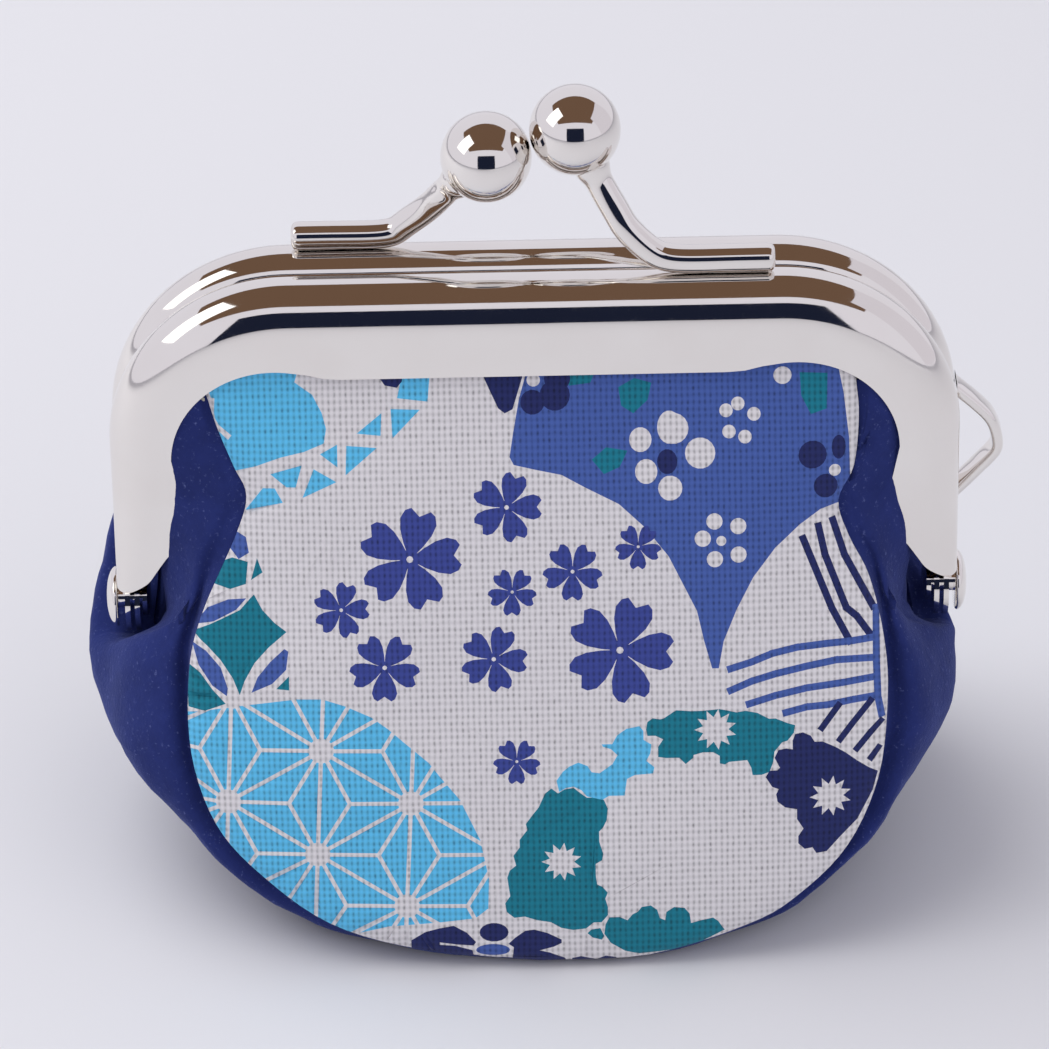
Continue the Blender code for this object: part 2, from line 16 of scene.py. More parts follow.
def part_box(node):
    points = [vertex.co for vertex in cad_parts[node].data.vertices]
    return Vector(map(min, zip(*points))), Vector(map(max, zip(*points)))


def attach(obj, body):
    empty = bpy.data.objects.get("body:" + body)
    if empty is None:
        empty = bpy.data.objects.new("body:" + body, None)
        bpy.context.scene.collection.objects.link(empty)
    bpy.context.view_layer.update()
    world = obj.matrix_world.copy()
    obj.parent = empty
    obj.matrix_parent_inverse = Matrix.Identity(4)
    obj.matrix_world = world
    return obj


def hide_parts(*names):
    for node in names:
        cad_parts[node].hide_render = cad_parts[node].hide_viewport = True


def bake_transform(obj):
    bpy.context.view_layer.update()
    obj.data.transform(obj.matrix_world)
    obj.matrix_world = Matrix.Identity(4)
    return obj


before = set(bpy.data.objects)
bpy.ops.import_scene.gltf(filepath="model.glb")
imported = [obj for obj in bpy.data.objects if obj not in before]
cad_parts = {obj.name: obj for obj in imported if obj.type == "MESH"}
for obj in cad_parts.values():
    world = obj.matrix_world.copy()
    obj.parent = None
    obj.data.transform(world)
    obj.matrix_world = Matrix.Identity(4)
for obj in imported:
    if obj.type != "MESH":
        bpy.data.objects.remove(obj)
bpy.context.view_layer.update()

# Vector noise starts from the clock unless it is given a seed; this keeps every run the same
noise.seed_set(5)

# %% [markdown]
# Sizes are in millimetres, and MM turns them into the model's metres. The frame's outline and the
# balls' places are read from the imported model, so the dressed pieces sit where its solids are. NEAR
# and FAR are the depths, from the middle plane, of a half's seam edge and of its flange.

# %% Sizes, in millimetres
MM = 0.001

frame_low, frame_high = (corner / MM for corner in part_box("front_frame"))
ball_low, ball_high = (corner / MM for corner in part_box("front_clasp_ball"))
HALF_WIDTH = frame_high.x
CROWN = frame_high.z
FAR = -frame_low.y
RIVET = 21.7
NEAR = 0.1
STEEL = 0.5
print("frame half width, crown, depth", round(HALF_WIDTH, 2), round(CROWN, 2), round(FAR, 2))

# %% [markdown]
# The camera stands a good forearm away and looks about 33 degrees down, as one would photograph a
# small thing on a table, so the leaning front panel faces it almost squarely.

# %% Camera
CAMERA_HEIGHT_ANGLE = math.radians(33)
CAMERA_TURN = math.radians(-0.5)
CAMERA_ROLL = math.radians(0.9)
CAMERA_DISTANCE = 420
CAMERA_TARGET = Vector((-0.9, -1.85, 28.8))
LENS = 186.3

away = Vector((math.sin(CAMERA_TURN), -math.cos(CAMERA_TURN), math.tan(CAMERA_HEIGHT_ANGLE))).normalized()
camera = bpy.data.objects.new("camera", bpy.data.cameras.new("camera"))
camera.data.lens = LENS
camera.data.clip_start = 0.01
camera.location = (CAMERA_TARGET + away * CAMERA_DISTANCE) * MM
look = away.to_track_quat("Z", "Y")
camera.rotation_euler = (look.to_matrix() @ Matrix.Rotation(-CAMERA_ROLL, 3, "Z")).to_euler()
bpy.context.collection.objects.link(camera)
scene = bpy.context.scene
scene.camera = camera
scene.view_settings.view_transform = "Standard"
print("camera at", [round(c, 3) for c in camera.location])


# %% [markdown]
# A shader is a few nodes, and one function adds a node with its settings and its links. Colours are
# written as seen on a screen and turned to linear light here.

# %% Shader helpers
def linear(code):
    """An sRGB hex colour as linear RGBA."""
    channels = [int(code[i : i + 2], 16) / 255 for i in (0, 2, 4)]
    return (*(c / 12.92 if c <= 0.04045 else ((c + 0.055) / 1.055) ** 2.4 for c in channels), 1.0)


def feed(tree, node, inputs):
    """Give each named input of a node its value, or the socket that feeds it."""
    for name, value in inputs.items():
        if isinstance(value, bpy.types.NodeSocket):
            tree.links.new(value, node.inputs[name])
        else:
            node.inputs[name].default_value = value


def add_node(tree, kind, inputs=None, **settings):
    """A node of a kind, with its own settings and its inputs fed."""
    made = tree.nodes.new("ShaderNode" + kind)
    for name, value in settings.items():
        setattr(made, name, value)
    feed(tree, made, inputs or {})
    return made


def new_material(name):
    """An empty material with its Principled shader, and the node tree to add to."""
    material = bpy.data.materials.new(name)
    material.use_nodes = True
    return material, material.node_tree, material.node_tree.nodes["Principled BSDF"]


# %% [markdown]
# The table is a pale lavender-grey sheet that runs on behind the purse, so nothing else is seen. A
# polished frame mostly shows the room, so the room is made of a few plain cards that only
# reflections see: a brown ceiling, a bright window on the left, a pale wall on the right, and the
# dark shape of whoever stands in front. Soft window light falls from the upper left.

# %% Stage
def stage_material(name, code, glow=None):
    """Matt paper, or with a glow a black card that sends out its colour."""
    material, tree, shader = new_material(name)
    if glow is None:
        feed(tree, shader, {"Base Color": linear(code), "Roughness": 0.6, "Specular IOR Level": 0.15})
    else:
        feed(tree, shader, {"Base Color": linear("000000"), "Roughness": 0.6, "Specular IOR Level": 0.0,
                            "Emission Color": linear(code), "Emission Strength": glow})
    return material


def add_card(name, centre, size, material, towards=(0, 0, 30), mirror_only=True):
    """A flat card at a place in millimetres, turned towards a point."""
    mesh = bpy.data.meshes.new(name)
    w, h = size[0] / 2 * MM, size[1] / 2 * MM
    mesh.from_pydata([(-w, -h, 0), (w, -h, 0), (w, h, 0), (-w, h, 0)], [], [(0, 1, 2, 3)])
    mesh.materials.append(material)
    card = bpy.data.objects.new(name, mesh)
    bpy.context.collection.objects.link(card)
    card.location = Vector(centre) * MM
    card.rotation_euler = (Vector(towards) - Vector(centre)).to_track_quat("Z", "Y").to_euler()
    if mirror_only:
        card.visible_camera = False
        card.visible_diffuse = False
        card.visible_shadow = False
        card.visible_transmission = False
        card.visible_volume_scatter = False


add_card("table", (0, 400, 0), (6000, 6000), stage_material("table_paper", "e1e1e4"),
         towards=(0, 400, 100), mirror_only=False)

world = bpy.data.worlds.new("room")
world.use_nodes = True
room_tree = world.node_tree
glossy_ray = add_node(room_tree, "LightPath").outputs["Is Glossy Ray"]
strength = add_node(room_tree, "MapRange", {"Value": glossy_ray, "To Min": 0.64, "To Max": 1.0})
feed(room_tree, room_tree.nodes["Background"], {"Color": linear("e6e4ee"),
                                                "Strength": strength.outputs["Result"]})
scene.world = world


def add_window(name, centre, side, watts):
    """A soft square light turned to the purse, which no reflection shows."""
    data = bpy.data.lights.new(name, "AREA")
    data.shape = "RECTANGLE"
    data.size, data.size_y = side * MM, side * MM
    data.energy = watts
    light = bpy.data.objects.new(name, data)
    light.location = Vector(centre) * MM
    light.rotation_euler = (Vector(centre) - Vector((0, 0, 25))).to_track_quat("Z", "Y").to_euler()
    light.visible_glossy = False
    bpy.context.collection.objects.link(light)


add_window("window", (-380, 120, 600), 700, 3.5)
add_window("fill", (400, -500, 420), 900, 1.4)

for name, centre, size, code, glow in (
    ("ceiling", (0, -100, 900), (1900, 1300), "6f5645", 1.0),
    ("figure", (0, -1100, 330), (900, 700), "1c2134", 1.0),
    ("window_pane", (-560, -120, 520), (380, 480), "ffffff", 1.6),
    ("right_wall", (900, 0, 450), (900, 900), "dcd8e2", 1.0),
):
    add_card(name, centre, size, stage_material(name + "_card", code, glow))
    print("card", name, "of", size, "mm at", centre)


# %% [markdown]
# The metal is pressed steel with a bright nickel plate. It is nearly a mirror: a slight waviness
# from the press and a breath of dust are all that its shader adds.

# %% Nickel plate
def nickel_material():
    """Bright nickel: warm white, a faint dust haze and a slight waviness from the press."""
    material, tree, shader = new_material("nickel_plate")
    place = add_node(tree, "TexCoord").outputs["Object"]
    tint = add_node(tree, "TexNoise", {"Vector": place, "Scale": 160.0, "Detail": 4.0})
    colour = add_node(tree, "Mix", {"Factor": tint.outputs["Fac"], "A": linear("e9e4df"),
                                    "B": linear("f1eeea")}, data_type="RGBA")
    dust = add_node(tree, "TexNoise", {"Vector": place, "Scale": 900.0, "Detail": 6.0, "Roughness": 0.7})
    haze = add_node(tree, "MapRange", {"Value": dust.outputs["Fac"], "From Min": 0.4, "From Max": 0.8,
                                       "To Min": 0.035, "To Max": 0.11})
    wave = add_node(tree, "TexNoise", {"Vector": place, "Scale": 220.0, "Detail": 1.0})
    bump = add_node(tree, "Bump", {"Height": wave.outputs["Fac"], "Strength": 0.05, "Distance": 0.0002})
    feed(tree, shader, {"Metallic": 1.0, "Base Color": colour.outputs["Result"],
                        "Roughness": haze.outputs["Result"], "Normal": bump.outputs["Normal"]})
    return material


nickel = nickel_material()


# %% [markdown]
# Most pieces are swept: a section is carried along a smooth line and neighbouring rings are joined.
# These helpers make the line, join the rings, cap the ends and turn points into a smooth mesh.

# %% Mesh helpers
def ease(value):
    """Smooth rise from 0 to 1."""
    value = min(max(value, 0.0), 1.0)
    return value * value * (3 - 2 * value)


def curve_points(knots, steps):
    """Points along a smooth curve through the knots, which are Vectors."""
    ends = [knots[0] * 2 - knots[1], *knots, knots[-1] * 2 - knots[-2]]
    points = []
    for i in range(len(knots) - 1):
        a, b, c, d = ends[i : i + 4]
        for step in range(steps):
            t = step / steps
            square = (2 * a - 5 * b + 4 * c - d) * t**2
            cube = (3 * b - a - 3 * c + d) * t**3
            points.append(0.5 * (2 * b + (c - a) * t + square + cube))
    points.append(knots[-1])
    return points


def add_piece(name, points, faces, material, sharp=40):
    """A smooth mesh from points in millimetres."""
    mesh = bpy.data.meshes.new(name)
    mesh.from_pydata([Vector(p) * MM for p in points], [], faces)
    work = bmesh.new()
    work.from_mesh(mesh)
    bmesh.ops.recalc_face_normals(work, faces=work.faces)
    work.to_mesh(mesh)
    work.free()
    mesh.shade_smooth()
    mesh.set_sharp_from_angle(angle=math.radians(sharp))
    mesh.materials.append(material)
    piece = bpy.data.objects.new(name, mesh)
    bpy.context.collection.objects.link(piece)
    return piece


def ring_faces(rings, count):
    """Quads between neighbouring closed rings of points."""
    faces = []
    for i in range(rings - 1):
        for j in range(count):
            k = (j + 1) % count
            faces.append((i * count + j, i * count + k, (i + 1) * count + k, (i + 1) * count + j))
    return faces


def loft(rings):
    """Points and faces of a closed solid through equal rings, capped at both ends."""
    count = len(rings[0])
    points = [p for ring in rings for p in ring]
    faces = ring_faces(len(rings), count)
    faces += [tuple(range(count)), tuple(range(len(points) - count, len(points)))]
    return points, faces


def merge(parts):
    """Points and faces of several meshes in one."""
    points, faces = [], []
    for more_points, more_faces in parts:
        faces += [tuple(i + len(points) for i in face) for face in more_faces]
        points += more_points
    return points, faces


# %% [markdown]
# Each half of the frame is one strip of steel pressed to a rounded channel: a flat flange in front,
# a domed crown, and a rolled edge where the halves meet. The flange is widest in the middle of the
# crown, is cut back at the corners and runs out in a curve at the leg end. The section is swept
# along the frame's contour, so the mirror-like dome is smooth in the reflections.

# %% Frame halves
FRAME_CORNER = 14.0
LIP_CORNER = 8.0
LIP_CORNER_X = 19.7
CROWN_FLANGE = 7.05
CORNER_FLANGE = 6.3
BACK_FLANGE = 4.5
CROWN_SHOULDER = (2.9, 3.6)
LEG_SHOULDER = (1.2, 1.2)
CROWN_SEAM = (2.2, 2.2)
LEG_SEAM = (0.8, 0.8)
CREST = NEAR + CROWN_SEAM[0]
LIP_ROUNDING = 0.22
FLANGE_SWELL = 3.5

# Height above the rivets and width of the flange towards the leg end
LEG_LIP = ((3.6, 0.5), (3.95, 1.5), (4.6, 2.5), (5.6, 3.2), (6.8, 4.0), (8.0, 4.9), (9.8, 5.4),
           (12.4, 5.4))

CORNER_X = HALF_WIDTH - FRAME_CORNER
CORNER_Z = CROWN - FRAME_CORNER
LIP_CORNER_Z = CROWN - CORNER_FLANGE - LIP_CORNER


def corner_flange(angle):
    """Width of the flange on the rounded corner, from the contour to the lip's own arc."""
    cx, cz = math.cos(angle), math.sin(angle)
    dx, dz = CORNER_X - LIP_CORNER_X, CORNER_Z - LIP_CORNER_Z
    along = dx * cx + dz * cz
    return FRAME_CORNER + along - math.sqrt(along * along - dx * dx - dz * dz + LIP_CORNER**2)


def frame_stations():
    """(place, inward direction, flange width, share of the crown's form) along the contour."""
    right = []
    lip = curve_points([Vector(pair) for pair in LEG_LIP], 5)
    start = Vector((CORNER_Z - RIVET, corner_flange(0.0)))
    lip += [lip[-1].lerp(start, step / 6) for step in range(1, 6)]
    for height, width in lip:
        share = ease(height / (CORNER_Z - RIVET))
        right.append((Vector((HALF_WIDTH, RIVET + height)), Vector((-1, 0)), width, share))
    for step in range(36 + 1):
        angle = math.pi / 2 * step / 36
        inward = Vector((-math.cos(angle), -math.sin(angle)))
        place = Vector((CORNER_X, CORNER_Z)) - inward * FRAME_CORNER
        right.append((place, inward, corner_flange(angle), 1.0))
    corner_width = right[-1][2]
    for step in range(1, 14 + 1):
        x = CORNER_X * (1 - step / 14)
        dip = ease((CORNER_X - x) / FLANGE_SWELL)
        width = corner_width + (CROWN_FLANGE - corner_width) * dip
        right.append((Vector((x, CROWN)), Vector((0, -1)), width, 1.0))
    left = [(Vector((-p.x, p.y)), Vector((-n.x, n.y)), w, s) for p, n, w, s in reversed(right[:-1])]
    return right + left


def channel_wall(flange, share, inset):
    """(u, v) points from the lip over the dome to the seam wall; u is depth, v is inwards."""
    shoulder = Vector(LEG_SHOULDER).lerp(Vector(CROWN_SHOULDER), share)
    seam = Vector(LEG_SEAM).lerp(Vector(CROWN_SEAM), share)
    back = max(min(BACK_FLANGE, flange), seam.y + 0.12)
    points = []
    first = math.asin(max(1 - flange / shoulder.y, 0.0))
    for drop in (0.0, 0.12, 1.0):
        points.append((FAR - inset, max(flange - drop, shoulder.y * (1 - math.sin(first)))))
    for step in range(14 + 1):
        t = first + (math.pi / 2 - first) * step / 14
        a, b = shoulder.x - inset, shoulder.y - inset
        points.append((FAR - shoulder.x + a * math.cos(t), shoulder.y - b * math.sin(t)))
    for step in range(10 + 1):
        t = math.pi / 2 * step / 10
        a, b = seam.x - inset, seam.y - inset
        points.append((NEAR + seam.x - a * math.sin(t), seam.y - b * math.cos(t)))
    points.append((NEAR + inset, back))
    return points


def frame_half(facing):
    """The channel of one half, with a rounded edge along its lip."""
    rings = []
    for place, inward, flange, share in frame_stations():
        outer = channel_wall(flange, share, 0.0)
        inner = channel_wall(flange, share, STEEL)
        first, last = Vector(outer[0]), Vector(inner[0])
        middle = (first + last) / 2 + Vector((0, STEEL * LIP_ROUNDING))
        lip = [tuple(middle.lerp(last, 0.55)), tuple(middle), tuple(middle.lerp(first, 0.55))]
        section = lip + outer + inner[::-1]
        ring = []
        for u, v in section:
            at = place + inward * v
            ring.append((at.x, facing * u, at.y))
        rings.append(ring)
    return loft(rings)


# %% [markdown]
# Each leg ends in an ear, a thin eye of the same steel that the rivet passes through. The rear
# half's ears lie inside the front half's, so they are pressed further in below the leg.

# %% Ears round the rivets
EAR_RADIUS = 2.7
EAR_THICKNESS = 0.4
EAR_PLAY = 0.06
EAR_STEPS = {"front": 0.35, "rear": 1.1}
RIVET_SHANK = 0.9
LEG_FOOT = LEG_LIP[0][0] + 0.5
NECK = (1.5, 3.6)


def ear_outline():
    """(u, height above the axis): a round eye that widens up to the leg end."""
    points = [Vector((NECK[0], LEG_FOOT + 0.6)), Vector((NECK[1], LEG_FOOT + 0.6))]
    for step in range(64 + 1):
        angle = math.radians(40) - math.radians(305) * step / 64
        points.append(Vector((EAR_RADIUS * math.cos(angle), EAR_RADIUS * math.sin(angle))))
    return points[::-1]


def thicken(points, faces, thickness):
    """The sheet with a second layer behind it and a rim; also the sheet's face for each face."""
    mesh = bpy.data.meshes.new("sheet")
    mesh.from_pydata([Vector(p) for p in points], [], faces)
    normals = [n.vector.copy() for n in mesh.vertex_normals]
    bpy.data.meshes.remove(mesh)
    count = len(points)
    owner = {}
    for index, face in enumerate(faces):
        for i, vertex in enumerate(face):
            owner[(vertex, face[(i + 1) % len(face)])] = index
    layers = [Vector(p) for p in points] + [Vector(p) - n * thickness for p, n in zip(points, normals)]
    both = [tuple(face) for face in faces] + [tuple(i + count for i in reversed(face)) for face in faces]
    sources = list(range(len(faces))) * 2
    for (a, b), index in owner.items():
        if (b, a) not in owner:
            both.append((b, a, a + count, b + count))
            sources.append(index)
    return layers, both, sources


def ear_plate(side, facing, step_in):
    """A plate round the rivet with its hole, stepped inwards below the leg."""
    outline = ear_outline()
    hole = []
    for step in range(32):
        angle = 2 * math.pi * step / 32
        hole.append(Vector((math.cos(angle), math.sin(angle))) * (RIVET_SHANK + EAR_PLAY))
    edges = [list(range(len(outline))), list(range(len(outline), len(outline) + len(hole)))]
    made = geometry.delaunay_2d_cdt(outline + hole, [], edges, 0, 0.0001)
    points = []
    for u, height in made[0]:
        sunk = 0.05 + step_in * (1 - ease((height - EAR_RADIUS) / (LEG_FOOT - EAR_RADIUS)))
        points.append((side * (HALF_WIDTH - sunk), facing * u, RIVET + height))
    faces = [face for face, source in zip(made[2], made[5]) if 0 in source and 1 not in source]
    points, faces, _ = thicken(points, faces, side * facing * EAR_THICKNESS)
    return points, faces


for word, facing in (("front", -1), ("rear", 1)):
    ears = [ear_plate(side, facing, EAR_STEPS[word]) for side in (1, -1)]
    half = add_piece(word + "_frame_half", *merge([frame_half(facing)] + ears), nickel, sharp=50)
    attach(half, word + "_half")
    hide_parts(word + "_frame")
    print(word, "frame half", len(half.data.polygons), "faces")


# %% [markdown]
# A rivet is turned: a low domed head outside, a shank through both ears, and the end hammered over
# inside.

# %% Rivets
def lathe(profile, side, steps=56):
    """A solid turned about the rivet axis from (x, radius) pairs."""
    rings = []
    for x, r in profile:
        turn = [2 * math.pi * step / steps for step in range(steps)]
        rings.append([(side * x, r * math.cos(t), RIVET + r * math.sin(t)) for t in turn])
    return loft(rings)


def rivet_profile():
    """(x, radius) from the hammered end inside to the middle of the head outside."""
    low, high = (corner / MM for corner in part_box("right_rivet"))
    head_radius = (high.z - low.z) / 2
    head_face, top = high.x - 0.95, high.x
    profile = [(low.x, 0.9), (low.x + 0.1, 1.35), (low.x + 0.25, 1.6), (low.x + 0.6, 1.6)]
    profile += [(low.x + 0.62, RIVET_SHANK), (head_face, RIVET_SHANK), (head_face, head_radius - 0.1)]
    for step in range(12 + 1):
        angle = math.pi / 2 * step / 12.3
        rise = (top - head_face - 0.12) * math.sin(angle)
        profile.append((head_face + 0.12 + rise, head_radius * math.cos(angle) ** 0.85))
    return profile


for word, side in (("left", -1), ("right", 1)):
    rivet = add_piece(word + "_frame_rivet", *lathe(rivet_profile(), side), nickel, sharp=55)
    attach(rivet, "bag")
    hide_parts(word + "_rivet")
print("rivets ready")

# %% [markdown]
# The clasp is two balls on bent arms. An arm is round rod, its foot brazed along the crest of the
# crown, then bent up to the ball, where a small fillet of braze joins them.

# %% Clasp
ROD = 2.1
ROD_SQUARENESS = 2.3
FOOT_OUTER = 18.2
FOOT_INNER = 10.7
PATH_SMOOTHING = 40
ARM_IN_BALL = 0.9

# Share of the way from the foot to the ball: along, and up
FRONT_BEND = ((0.23, 0.06), (0.49, 0.25), (0.58, 0.37), (0.76, 0.59))
REAR_BEND = ((0.14, 0.11), (0.41, 0.33), (0.61, 0.61))


def rod_ring(centre, tangent, scale):
    """Points of the rod's outline round a place on its middle line."""
    across = (Vector((0, 1, 0)) - tangent * tangent.y).normalized()
    up = tangent.cross(across)
    ring = []
    for step in range(36):
        angle = 2 * math.pi * (step + 0.5) / 36
        c, s = math.cos(angle), math.sin(angle)
        power = abs(c) ** ROD_SQUARENESS + abs(s) ** ROD_SQUARENESS
        reach = ROD / 2 * scale * power ** (-1 / ROD_SQUARENESS)
        ring.append(centre + across * (reach * c) + up * (reach * s))
    return ring


def clasp_arm(word, facing, side, bend):
    """The arm's mesh, and the middle and radius of its ball."""
    ball = sum((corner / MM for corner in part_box(word + "_clasp_ball")), Vector()) / 2
    foot = Vector((side * FOOT_INNER, facing * CREST, CROWN + 0.1 + ROD / 2))
    knots = [foot]
    for run, rise in bend:
        at = foot + (ball - foot) * run
        at.y = foot.y + (ball.y - foot.y) * ease(rise)
        at.z = foot.z + (ball.z - foot.z) * rise
        knots.append(at)
    knots.append(ball)
    outer = Vector((side * FOOT_OUTER, foot.y, foot.z))
    direction = (foot - outer).normalized()
    path = curve_points([outer + direction * 0.6, outer.lerp(foot, 0.5)] + knots, 12)
    for _ in range(PATH_SMOOTHING):
        middle = [(a + c) / 4 + b / 2 for a, b, c in zip(path, path[1:], path[2:])]
        path = [path[0]] + middle + [path[-1]]
    rings = []
    for inset, scale in ((0.0, 0.5), (0.06, 0.72), (0.17, 0.88), (0.33, 0.97), (0.55, 1.0)):
        rings.append(rod_ring(outer + direction * inset, direction, scale))
    radius = (ball_high.x - ball_low.x) / 2
    for before, point, after in zip(path, path[1:], path[2:]):
        reach = (ball - point).length - radius
        if reach < -ARM_IN_BALL:
            break
        flare = 1 + 0.32 * (1 - ease((reach + 0.3) / 1.3))
        rings.append(rod_ring(point, (after - before).normalized(), flare))
    return loft(rings), ball, radius


def ball_mesh(centre, radius):
    """Points and faces of a ball."""
    work = bmesh.new()
    bmesh.ops.create_uvsphere(work, u_segments=96, v_segments=64, radius=radius)
    points = [v.co + centre for v in work.verts]
    faces = [tuple(v.index for v in face.verts) for face in work.faces]
    work.free()
    return points, faces


for word, facing, side, bend in (("front", -1, 1, FRONT_BEND), ("rear", 1, -1, REAR_BEND)):
    arm, centre, radius = clasp_arm(word, facing, side, bend)
    rod = add_piece(word + "_arm", *arm, nickel, sharp=60)
    ball = add_piece(word + "_ball", *ball_mesh(centre, radius), nickel, sharp=60)
    for piece, node in ((rod, word + "_clasp_arm"), (ball, word + "_clasp_ball")):
        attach(piece, word + "_half")
        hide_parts(node)
print("clasp ready")


# %% [markdown]
# The strap's loop is a flat nickel strip bent to a rounded triangle. Its two ends are brazed on the
# right leg of the rear half.

# %% Strap loop
LOOP_STRIP = 0.9
LOOP_WIDTH = 2.2
LOOP_REACH = 3.7
LOOP_HEIGHT = 10.0
LOOP_CENTRE = 11.6

# Share of the loop's height along the leg, and of its reach away from it
LOOP_LINE = ((0.53, 0.0), (0.5, 0.06), (0.34, 0.52), (0.2, 0.84), (0.03, 1.0), (-0.12, 0.98), (-0.3, 0.6),
             (-0.5, 0.12), (-0.53, 0.0))


def strap_loop():
    """A flat strip with rounded edges, bent to a rounded triangle on the rear half's right leg."""
    line = [Vector((out * LOOP_REACH, along * LOOP_HEIGHT)) for along, out in LOOP_LINE]
    line = curve_points(line, 8)
    rings = []
    for i, point in enumerate(line):
        run = (line[min(i + 1, len(line) - 1)] - line[max(i - 1, 0)]).normalized()
        inward = Vector((run.y, -run.x))
        ring = []
        for step in range(16):
            angle = 2 * math.pi * (step + 0.5) / 16
            c, s = math.cos(angle), math.sin(angle)
            across = LOOP_WIDTH / 2 * math.copysign(abs(c) ** 0.45, c)
            deep = LOOP_STRIP / 2 * (1 + math.copysign(abs(s) ** 0.6, s))
            at = point + inward * deep
            x = HALF_WIDTH + 0.1 + max(at.x, 0.0)
            ring.append((x, (NEAR + FAR) / 2 + across, RIVET + LOOP_CENTRE + at.y))
        rings.append(ring)
    return loft(rings)


loop = add_piece("side_loop", *strap_loop(), nickel, sharp=60)
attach(loop, "rear_half")
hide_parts("strap_loop")
print("loop ready")

# %% [markdown]
# The panels are plain cotton sheeting, printed and then cut. The print is laid out flat, in
# millimetres across and up the cloth from the middle of its low edge, as fields of one colour each:
# overlapping roundels with cherry blossom, plum blossom, seven treasures, hemp leaf, stripes and
# chrysanthemums. The flat cloth is cut along every outline, each small face takes the colour of the
# topmost field over it, and the whole is then lifted on to the leaning, slightly puffed panel.

# %% Seams and print layout, in millimetres on the flat cloth
SEAM_LEFT = ((-0.4, -0.3), (-9.6, 0.8), (-16.5, 3.0), (-21.8, 7.1), (-25.1, 11.2), (-26.8, 16.8),
             (-26.8, 23.1), (-25.7, 27.7), (-22.9, 33.9), (-22.0, 37.0), (-22.9, 39.3), (-24.1, 42.4),
             (-24.8, 44.8))
SEAM_RIGHT = ((-0.4, -0.3), (8.1, 0.0), (15.8, 2.3), (19.7, 4.6), (23.5, 8.5), (25.9, 14.0), (26.6, 20.4),
              (26.3, 25.1), (25.2, 29.8), (23.7, 32.9), (22.9, 35.7), (24.1, 38.4), (24.5, 42.2),
              (24.3, 44.9))
PRINT_COLOURS = {"white": "e6e3e6", "sky": "62c6f4", "blue": "4a64ae", "teal": "1b7f95", "navy": "272f66",
                 "indigo": "3f4c9a"}
HEMP_FIELD = ((-30.0, 20.2), (-26.9, 20.2), (-23.3, 20.8), (-18.6, 21.4), (-16.6, 21.4), (-14.8, 20.8),
              (-12.9, 19.9), (-11.6, 18.9), (-10.4, 17.8), (-8.6, 16.2), (-7.8, 15.1), (-6.3, 13.2),
              (-4.8, 9.9), (-4.2, 6.7), (-4.3, 4.3), (-5.3, 3.5), (-8.0, 3.2), (-12.0, 2.9), (-15.5, 2.0),
              (-20.0, -1.0), (-30.0, 0.0))
HEMP_ORIGIN = (-17.3, 8.9)
HEMP_STEPS = ((0.5, 8.4), (7.25, 4.1))
HEMP_LINE = 0.32
HEMP_STAR = 1.0
CHERRY = ((-2.3, 36.0, 2.6, 0.0), (-9.7, 32.2, 3.8, 0.07), (-15.0, 28.3, 2.1, 0.05), (-2.0, 29.5, 1.8, -1.6),
          (2.6, 31.0, 2.2, -1.6), (7.6, 32.8, 1.7, -1.6), (-11.8, 23.8, 2.6, -1.6), (-3.5, 24.3, 2.5, -0.08),
          (6.1, 24.8, 4.0, -0.05), (-1.9, 16.2, 1.75, -1.6))
HEART_SPIKES = 11
KIKU_HEARTS = ((1.4, 8.1, 1.15), (13.3, 18.4, 1.2), (22.1, 12.7, 1.2))
